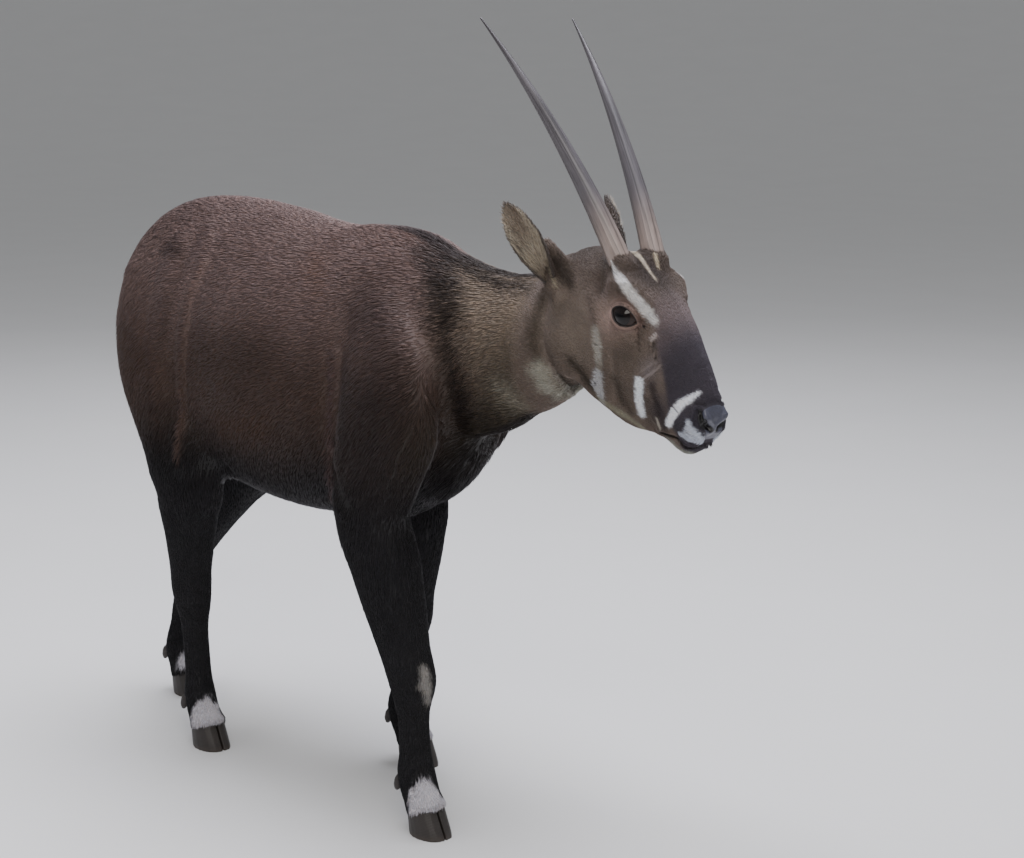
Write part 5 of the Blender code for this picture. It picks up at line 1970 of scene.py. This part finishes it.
# Hair inside and outside the ear: its length at the root, how much shorter it is at the
# tip, its width, and how far it fans out.
EAR_HAIR_INSIDE = (0.014, 0.005, 0.0011, 0.50)
EAR_HAIR_OUTSIDE = (0.0075, 0.002, 0.0013, 0.15)
# It fans out fully this far from the ear's middle, and unevenly. It differs in length by
# these shares, and is shorter by this one at the edge.
EAR_FAN_REACH, EAR_FAN_UNEVEN = 0.009, 0.22
EAR_HAIR_LENGTHS = (0.7, 1.25)
EAR_SHORT_EDGE, EAR_EDGE_SHORTER = (0.85, 1.0), 0.45
# Colours of the hair inside the ear, and the shares of each that show: dark streaks, the
# hollow along its middle, the dark tip and the dark root.
EAR_STREAKS, EAR_STREAKS_SHOW, EAR_STREAK_LONG = (0.15, 0.9), 0.75, 0.16
EAR_HOLLOW, EAR_HOLLOW_SHOWS, EAR_HOLLOW_HALF = (0.35, 0.60), 0.55, 0.010
EAR_TIP, EAR_TIP_SHOWS = (0.86, 0.98), 0.7
EAR_ROOT, EAR_ROOT_SHOWS = (0.22, 0.02), 0.5
EAR_EDGE_SHOWS = 0.8


def ear_material():
    """Thin skin that lets a little light through."""
    made, tree = new_material("thin_ear_skin")
    pores = noise(tree, object_places(tree), 700.0)
    shade(tree, {
        "Base Color": painted(tree), "Roughness": 0.6, "Normal": bumped(tree, pores, 0.3, 0.0005),
        "Subsurface Weight": 0.15, "Subsurface Radius": (0.004, 0.0015, 0.001),
        "Subsurface Scale": 1.0})
    return made


def ear_measures(points, rows):
    """For points in the ear's own axes: the share of its length, how far inside the
    leaf's middle they lie, and how near its edge as a share."""
    look = settings("ear")
    x, y, z = points.T
    share = ((z - EAR_START) / look.length).clip(0, 1)
    half_angle = np.interp(share, rows[:, 0], rows[:, 2])
    radius = look.half_width * np.interp(share, rows[:, 0], rows[:, 1]) / half_angle
    inside = radius - np.hypot(radius - x, y)
    return share, inside, np.abs(np.arctan2(y, radius - x)) / half_angle


def ear_leaf(label, rows):
    """The rolled leaf of one ear, in its own axes."""
    look = settings("ear")
    bpy.ops.object.select_all(action="DESELECT")
    bpy.ops.mesh.primitive_grid_add(x_subdivisions=EAR_ACROSS_STEPS,
                                    y_subdivisions=len(rows) - 1, size=2.0)
    ear = bpy.context.object
    ear.name = ear.data.name = "ear_" + label + "_leaf"
    flat = points_of(ear)
    across = flat[:, 0]
    row = np.rint((flat[:, 1] + 1) / 2 * (len(rows) - 1)).astype(int)
    share, width, half_angle = rows[row].T
    radius = look.half_width * width / half_angle
    wave = 0.0008 * np.sin(share * 21) * np.abs(across) ** 3
    set_points(ear, np.column_stack([
        radius - radius * np.cos(half_angle * across) + wave,
        radius * np.sin(half_angle * across),
        EAR_START + look.length * share,
    ]))
    modify(ear, "SOLIDIFY", thickness=look.thickness, offset=0.0, use_even_offset=True)
    modify(ear, "SUBSURF", levels=1, render_levels=1)
    return ear


def dress_leaf(ear, label, rows):
    """Colours the leaf, sets it on the head and unwraps it."""
    points = points_of(ear)
    share, inside, edge = ear_measures(points, rows)
    inner = ease(-0.3 * MM, 0.3 * MM, inside)
    colour = plain(settings("ear").outside, points)
    colour = tinted(colour, inner, "#7c7063")
    colour = tinted(colour, EAR_EDGE_SHOWS * ease(*EAR_EDGE, edge), EAR_EDGE_COLOUR)
    paint(ear, tinted(colour, 0.6 * ease(0.25, 0.0, share) * inner, "#54463f"))
    set_points(ear, through(ear_frame(label), points))
    unwrap(ear)
    begin_edit(ear)
    bpy.ops.mesh.normals_make_consistent(inside=False)
    end_edit()
    smooth_shaded(ear)


def ear_hair(ear, label, rows, random):
    """Long pale hair inside the ear, fanned out from its middle, and short outside."""
    look = settings("ear")

    def density(places, normals):
        return np.full(len(places), EAR_COVER / (0.5 * EAR_TUFT_LENGTH * EAR_TUFT_WIDTH))

    places, normals, uvs = scatter(ear, density, random)
    local = through(ear_frame(label).inverted(), places)
    share, inside, edge = ear_measures(local, rows)
    is_inner = inside > 0
    long, shorter, wide, fan = [
        np.where(is_inner, inner, outer)
        for inner, outer in zip(EAR_HAIR_INSIDE, EAR_HAIR_OUTSIDE)
    ]
    ways = np.zeros_like(local)
    ways[:, 1] = (local[:, 1] / EAR_FAN_REACH).clip(-1.0, 1.0) * fan
    ways[:, 1] += EAR_FAN_UNEVEN * random.normal(size=len(local))
    ways[:, 2] = 1.0
    ways = across_normals(ways @ np.array(ear_frame(label))[:3, :3].T, normals)
    long = (long - shorter * share) * random.uniform(*EAR_HAIR_LENGTHS, len(long))
    long = long * (1 - EAR_EDGE_SHORTER * ease(*EAR_SHORT_EDGE, edge))

    inner = np.array(look.inside) * (1.05 + 0.15 * ripple(local, 0.006, 10))[:, None]
    streaks = ripple(local * np.array((1.0, 1.0, EAR_STREAK_LONG)), 0.0040, 22)
    inner = tinted(inner, EAR_STREAKS_SHOW * ease(*EAR_STREAKS, streaks), "#4b3f35")
    hollow = np.exp(-((local[:, 1] / EAR_HOLLOW_HALF) ** 2)) * ease(*EAR_HOLLOW, share)
    inner = tinted(inner, EAR_HOLLOW_SHOWS * hollow, "#5a463a")
    colours = np.where(is_inner[:, None], inner, plain(look.outside, places))
    colours = tinted(colours, EAR_EDGE_SHOWS * ease(*EAR_EDGE, edge), EAR_EDGE_COLOUR)
    colours = tinted(colours, EAR_TIP_SHOWS * ease(*EAR_TIP, share), EAR_EDGE_COLOUR)
    colours = tinted(colours, EAR_ROOT_SHOWS * ease(*EAR_ROOT, share) * is_inner, "#5b4c43")
    return lay_tufts("ear_hair_" + label, places, normals, ways, long, wide, colours, uvs,
                     random, rise=0.14)


class SAOLA_OT_ears(bpy.types.Operator):
    """Make the ears: rolled leaves with long pale hair inside and short hair outside"""

    bl_idname = "saola.ears"
    bl_label = "Ears"

    def execute(self, context):
        random = np.random.default_rng(SEED + 2)
        finish = ear_material()
        hair = hair_material("ear_hair", sheen=0.25, tint="#b5aeb0", roughness=0.55)
        rows = smooth_rows(EAR, EAR_ROW_STEPS)
        for label in SIDES:
            ear = ear_leaf(label, rows)
            dress_leaf(ear, label, rows)
            ear.data.materials.append(finish)
            finished(ear, "ear_skin", "ear_" + label)
            coat = ear_hair(ear, label, rows, random)
            coat.data.materials.append(hair)
            finished(coat, "ear_skin")
        return {"FINISHED"}


# The nose pad is the bare skin past this place on the head. It stands out by so much
# where it is fully bare, and its edge dips under the hair round it.
PAD_ON_HEAD = 0.28
PAD_STAND, PAD_DIP = 0.0009, 0.0006
PAD_THICKNESS = 0.0014
PEBBLE_HEIGHT = 0.00022
PAD_NOSTRIL = (0.9 * MM, -0.4 * MM)


def nose_material():
    """Moist leather, pebbled and a little glossy."""
    made, tree = new_material("moist_pebbled_nose_leather")
    # Grooves between the pebbles, 1.3 mm apart.
    cells = put(tree, "ShaderNodeTexVoronoi", {"Vector": object_places(tree), "Scale": 780.0},
                feature="DISTANCE_TO_EDGE")
    shade(tree, {
        "Base Color": painted(tree), "Roughness": 0.34, "Coat Weight": 0.3,
        "Coat Roughness": 0.18, "Normal": bumped(tree, (cells, "Distance"), 0.6, 0.0006)})
    return made


def cut_pad(skin):
    """A copy of the bare skin of the muzzle."""
    on_muzzle = to_head(points_of(skin))[:, 0] > PAD_ON_HEAD
    bare = bareness(points_of(skin)) * on_muzzle
    select_only(skin)
    bpy.ops.object.duplicate()
    pad = bpy.context.object
    pad.name = pad.data.name = "nose_pad"
    pad.parent = None
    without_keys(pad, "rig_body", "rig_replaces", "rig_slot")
    pad.data.materials.clear()
    pad.data.color_attributes.remove(pad.data.color_attributes["Coat"])
    with opened(pad) as bm:
        bm.verts.ensure_lookup_table()
        gone = [vert for vert in bm.verts if bare[vert.index] < 0.5]
        bmesh.ops.delete(bm, geom=gone, context="VERTS")
    return pad


class SAOLA_OT_nose(bpy.types.Operator):
    """Make the moist, pebbled nose pad from the skin of the muzzle"""

    bl_idname = "saola.nose"
    bl_label = "Nose pad"

    def execute(self, context):
        pad = cut_pad(built["skin"])
        points, normals = points_of(pad), normals_of(pad)
        # Pebbles of the nose about 1.6 mm across, with finer ones of 0.9 mm on them.
        pebble = np.abs(ripple(points, 0.0016, 12)) + 0.5 * np.abs(ripple(points, 0.0009, 13))
        stands = PAD_STAND * ease(0.5, 1.0, bareness(points)) - PAD_DIP
        points += normals * (stands + PEBBLE_HEIGHT * pebble)[:, None]
        set_points(pad, points)
        # Painted shade in the grooves between the pebbles and painted light on their tops.
        colour = plain(linear("#474856"), points) * (0.75 + 0.4 * pebble)[:, None]
        # Painted shadow in the nostril's opening.
        for _, _, _, line in built["nostril"]:
            gap, half = line_distance(points, line)
            colour = tinted(colour, ease(*PAD_NOSTRIL, gap - half), NOSTRIL_SHADOW)
        paint(pad, colour)
        modify(pad, "SOLIDIFY", thickness=PAD_THICKNESS, offset=-1.0)
        smooth_shaded(pad)
        pad.data.materials.append(nose_material())
        finished(pad, "nose_skin")
        return {"FINISHED"}


# The grain in which each kind of claw is grown again from its solid.
CLAW_VOXELS = {"claw": 0.0012, "dewclaw": 0.0009}
# The sole stays flat: the claw is rounded from here up, and ringed from here up.
SOLE_ROUNDED = (0.002, 0.006)
SOLE_RINGED = (0.002, 0.008)
CLAW_ROUNDS, CLAW_BACK = 14, 0.5
# The rings wander up and down by this much, and fade where the wall turns level.
RING_WANDER, RING_WANDER_SIZE = 0.0012, 0.010
RING_WALL = (0.7, 0.3)


def hoof_material():
    """Dull horn with fine upright tubules."""
    made, tree = new_material("dull_hoof_horn")
    upright = stretched(tree, object_places(tree), (700.0, 700.0, 60.0))
    tubules = noise(tree, upright, 1.0, 4.0)
    shade(tree, {
        "Base Color": multiplied(tree, painted(tree), ranged(tree, tubules, 0.7, 1.3)),
        "Roughness": 0.52, "Normal": bumped(tree, tubules, 0.3, 0.0006)})
    return made


def dressed_claw(kind, leg, node):
    """A claw with growth rings along its wall, level with its upper rim."""
    look = settings("hoof")
    claw = copy_of_nodes(node + "_dressed", [node])
    modify(claw, "REMESH", mode="VOXEL", voxel_size=CLAW_VOXELS[kind])
    points, edges = points_of(claw), edges_of(claw)
    is_claw = kind == "claw"
    strength = ease(*SOLE_ROUNDED, points[:, 2]) if is_claw else np.ones(len(points))
    points = relaxed(points, edges, strength, CLAW_ROUNDS, CLAW_BACK)
    set_points(claw, points)
    normals = normals_of(claw)
    foot_x, _ = FEET[leg]
    level = points[:, 2] - CORONET_SLOPE * (points[:, 0] - foot_x) * is_claw
    flat = points * np.array((0.3, 0.3, 1.0))
    level = level + RING_WANDER * ripple(flat, RING_WANDER_SIZE, 23)
    waves = np.cos(2 * math.pi * level / look.ring) + 0.4 * ripple(points, 0.006, 14)
    wall = ease(*RING_WALL, np.abs(normals[:, 2])) * ease(*SOLE_RINGED, points[:, 2])
    points -= normals * (look.ring_height * (1 - waves) * wall)[:, None]
    set_points(claw, points)
    colour = plain(look.horn, points)
    colour *= (1 + 0.05 * waves + 0.15 * ripple(points, 0.015, 15))[:, None]
    paint(claw, tinted(colour, 0.5 * ease(0.010, 0.0, points[:, 2]), "#4a4139"))
    smooth_shaded(claw)
    return claw


class SAOLA_OT_hooves(bpy.types.Operator):
    """Make the claws with growth rings, and the dewclaws"""

    bl_idname = "saola.hooves"
    bl_label = "Hooves"

    def execute(self, context):
        finish = hoof_material()
        for leg in LEG_NAMES:
            for label in SIDES:
                for kind in CLAW_VOXELS:
                    node = f"{kind}_{leg}_{label}"
                    claw = dressed_claw(kind, leg, node)
                    claw.data.materials.append(finish)
                    finished(claw, "hoof", node)
        return {"FINISHED"}


# The heights at which the tail's colours change, and how ragged that edge is.
TAIL_CREAM = (0.690, 0.675)
TAIL_BLACK = (0.655, 0.640)
TAIL_RAGGED = 0.004
# The core lies inside the hair. No hair grows on it in front of this place, where it
# lies in the rump, or hangs below this height.
TAIL_CORE = 0.82
TAIL_ROOT = -0.548
TAIL_END = 0.530
# How closely the hair is laid: for tufts of this width and length, and this much longer
# below, from the first height down to the second.
TAIL_COVER = 2.6
TAIL_LAID_WIDTH = 0.0022
TAIL_LAID_LENGTH, TAIL_LAID_LONGER = 0.020, 0.022
TAIL_LAID_HEIGHTS = (0.70, 0.62)
# The hair's own width and length, and how much longer it is in the tuft.
TAIL_HAIR_WIDTH = 0.0024
TAIL_HAIR_LENGTH, TAIL_HAIR_LONGER = 0.020, 0.050
TUFT_HEIGHTS = (0.70, 0.60)
# At the root the hair turns back, from the first height up to the second.
TAIL_BACK_HEIGHTS = (0.775, 0.80)


def tail_colour(places, uneven):
    """Brown above, a cream band, then black."""
    look = settings("tail")
    z = places[:, 2] + TAIL_RAGGED * uneven
    colour = tinted(plain(look.brown, places), ease(*TAIL_CREAM, z), look.cream)
    return tinted(colour, ease(*TAIL_BLACK, z), look.black)


def tail_core():
    """The tail's core: a tube along its line."""
    radius = TAIL_CORE * settings("tail").radius
    rows = smooth_rows(TAIL, 8)
    rings = []
    for k, (x, z, half, deep) in enumerate(rows):
        before, after = rows[max(k - 1, 0)], rows[min(k + 1, len(rows) - 1)]
        along = Vector((after[0] - before[0], 0.0, after[1] - before[1])).normalized()
        across = Vector((0.0, 1.0, 0.0))
        upward = along.cross(across)
        rings.append(ring_round((x, 0.0, z), across, upward, radius * half, radius * deep, 28))
    core = extruded_tube("tail_core", rings)
    unwrap(core)
    points = points_of(core)
    # The core is painted darker, as painted shade under the hair.
    paint(core, 0.7 * tail_colour(points, ripple(points, 0.006, 16)))
    return core


def tail_hair(core, random):
    """Short hair on the tail's upper part and long locks from its tuft."""

    def density(places, normals):
        longer = TAIL_LAID_LONGER * ease(*TAIL_LAID_HEIGHTS, places[:, 2])
        return TAIL_COVER / (0.5 * TAIL_LAID_WIDTH * (TAIL_LAID_LENGTH + longer))

    places, normals, uvs = scatter(core, density, random)
    keep = places[:, 0] < TAIL_ROOT
    places, normals, uvs = places[keep], normals[keep], uvs[keep]
    low = ease(*TUFT_HEIGHTS, places[:, 2])
    ways = np.tile(np.array((-0.05, 0.0, -1.0)), (len(places), 1))
    ways[:, 0] -= 0.8 * ease(*TAIL_BACK_HEIGHTS, places[:, 2])
    ways += normals * (0.10 * low)[:, None]
    ways = across_normals(ways, normals, 0.9)
    ways = unit(ways + 0.07 * random.normal(size=ways.shape))
    long = TAIL_HAIR_LENGTH + TAIL_HAIR_LONGER * low
    long = long * random.uniform(0.7, 1.15, len(places))
    room = (places[:, 2] - TAIL_END) * random.uniform(0.86, 1.0, len(places))
    long = np.minimum(long, room)
    tips = places + ways * (0.5 * long)[:, None]
    colours = tail_colour(tips, random.normal(size=len(places)))
    return lay_tufts("tail_hair", places, normals, ways, long,
                     np.full(len(places), TAIL_HAIR_WIDTH), colours, uvs, random, rise=0.05,
                     curl=0.03)


class SAOLA_OT_tail(bpy.types.Operator):
    """Make the tail: a haired core in three bands and a tuft of long locks"""

    bl_idname = "saola.tail"
    bl_label = "Tail"

    def execute(self, context):
        random = np.random.default_rng(SEED + 3)
        core = tail_core()
        core.data.materials.append(skin_material())
        finished(core, "hair_tail", "tail")
        locks = tail_hair(core, random)
        finish = hair_material("long_tail_hair", sheen=0.3, tint="#a8a0a4", roughness=0.5)
        locks.data.materials.append(finish)
        finished(locks, "hair_tail")
        return {"FINISHED"}


def area_light(name, place, target, size, energy, colour):
    light = bpy.data.lights.new(name, "AREA")
    light.shape = "DISK"
    light.size = size
    light.energy = energy
    light.color = linear(colour)
    lamp = bpy.data.objects.new(name, light)
    lamp.location = place
    lamp.rotation_mode = "QUATERNION"
    lamp.rotation_quaternion = (Vector(target) - Vector(place)).to_track_quat("-Z", "Y")
    bpy.context.scene.collection.objects.link(lamp)


# Each lamp: name, place, what it points at, size in metres, power in watts and colour.
LAMPS = (
    ("overhead", (-0.3, 0.3, 3.8), (0.0, 0.0, 0.7), 3.0, 235.0, "#f3f4ff"),
    ("key", (2.6, -2.2, 2.8), (0.1, 0.0, 0.6), 2.0, 60.0, "#fffaf2"),
    ("back", (-2.8, 2.4, 3.0), (0.1, 0.0, 0.6), 2.4, 30.0, "#f2f4ff"),
)
WORLD_LIGHT = 0.45
SENSOR_WIDTH = 36.0


def floor_material(colour):
    """Matt paint, rolled on."""
    made, tree = new_material("matt_studio_floor")
    # Faint unevenness of rolled paint, in patches about 30 cm wide.
    patches = noise(tree, object_places(tree), 3.0, 3.0)
    painted_floor = multiplied(tree, tuple(colour), ranged(tree, patches, 0.97, 1.02))
    shade(tree, {"Base Color": painted_floor, "Roughness": 0.85})
    return made


def lay_floor():
    """A round floor that sweeps up into a wall far behind the animal."""
    bpy.ops.object.select_all(action="DESELECT")
    bpy.ops.mesh.primitive_circle_add(vertices=96, radius=SWEEP_START, fill_type="NGON")
    floor = bpy.context.object
    floor.name = floor.data.name = "floor"
    bpy.ops.object.mode_set(mode="EDIT")
    bpy.ops.mesh.select_mode(type="EDGE")
    bpy.ops.mesh.select_all(action="SELECT")
    reach, height = SWEEP_START, 0.0
    for turn in np.radians(np.arange(SWEEP_STEP, SWEEP_END, SWEEP_STEP)):
        wider = SWEEP_START + SWEEP_BEND * math.sin(turn)
        higher = SWEEP_BEND * (1.0 - math.cos(turn))
        bpy.ops.mesh.extrude_edges_move()
        bpy.ops.transform.resize(value=(wider / reach, wider / reach, 1.0))
        bpy.ops.transform.translate(value=(0.0, 0.0, higher - height))
        reach, height = wider, higher
    bpy.ops.mesh.select_all(action="SELECT")
    bpy.ops.mesh.normals_make_consistent(inside=True)
    end_edit()
    smooth_shaded(floor)
    return floor


def place_camera(scene):
    """The photograph's own camera."""
    right, up, forward = camera_axes()
    camera = bpy.data.cameras.new("camera")
    camera.sensor_width = SENSOR_WIDTH
    camera.lens = CAMERA_FOCAL_PX / IMAGE_SIZE[0] * SENSOR_WIDTH
    eye = bpy.data.objects.new("camera", camera)
    turn = Matrix((right, up, -forward)).transposed().to_4x4()
    eye.matrix_world = Matrix.Translation(camera_place()) @ turn
    scene.collection.objects.link(eye)
    scene.camera = eye


class SAOLA_OT_stage(bpy.types.Operator):
    """Lay the floor, hang the lights and place the camera"""

    bl_idname = "saola.stage"
    bl_label = "Stage"

    def execute(self, context):
        look = settings("stage")
        floor = lay_floor()
        floor.data.materials.append(floor_material(look.floor))
        world = bpy.data.worlds.new("soft_surroundings")
        world.use_nodes = True
        backdrop = world.node_tree.nodes["Background"]
        backdrop.inputs["Color"].default_value = (*look.sky, 1.0)
        backdrop.inputs["Strength"].default_value = WORLD_LIGHT
        context.scene.world = world
        for lamp in LAMPS:
            area_light(*lamp)
        place_camera(context.scene)
        return {"FINISHED"}


STEPS = (SAOLA_OT_skin, SAOLA_OT_coat, SAOLA_OT_nose, SAOLA_OT_eyes, SAOLA_OT_horns,
         SAOLA_OT_ears, SAOLA_OT_hooves, SAOLA_OT_tail, SAOLA_OT_stage)
GROUPS = {
    "skin": SaolaSkinSettings,
    "coat": SaolaCoatSettings,
    "eye": SaolaEyeSettings,
    "horn": SaolaHornSettings,
    "ear": SaolaEarSettings,
    "hoof": SaolaHoofSettings,
    "tail": SaolaTailSettings,
    "stage": SaolaStageSettings,
}


class SAOLA_PT_panel(bpy.types.Panel):
    """The steps that dress the saola, and their sizes and colours"""

    bl_idname = "SAOLA_PT_panel"
    bl_label = "Saola"
    bl_space_type = "VIEW_3D"
    bl_region_type = "UI"
    bl_category = "Saola"

    def draw(self, context):
        for step in STEPS:
            self.layout.operator(step.bl_idname)
        for name, group in GROUPS.items():
            box = self.layout.box()
            box.label(text=name.capitalize())
            for key in group.__annotations__:
                box.prop(settings(name), key)


def register():
    for name, group in GROUPS.items():
        bpy.utils.register_class(group)
        setattr(bpy.types.Scene, "saola_" + name, bpy.props.PointerProperty(type=group))
    for each in (*STEPS, SAOLA_PT_panel):
        bpy.utils.register_class(each)


def unregister():
    for each in reversed((*STEPS, SAOLA_PT_panel)):
        bpy.utils.unregister_class(each)
    for name, group in GROUPS.items():
        delattr(bpy.types.Scene, "saola_" + name)
        bpy.utils.unregister_class(group)


def main():
    register()
    bpy.ops.saola.skin()
    bpy.ops.saola.coat()
    bpy.ops.saola.nose()
    bpy.ops.saola.eyes()
    bpy.ops.saola.horns()
    bpy.ops.saola.ears()
    bpy.ops.saola.hooves()
    bpy.ops.saola.tail()
    bpy.ops.saola.stage()


if __name__ == "__main__":
    main()
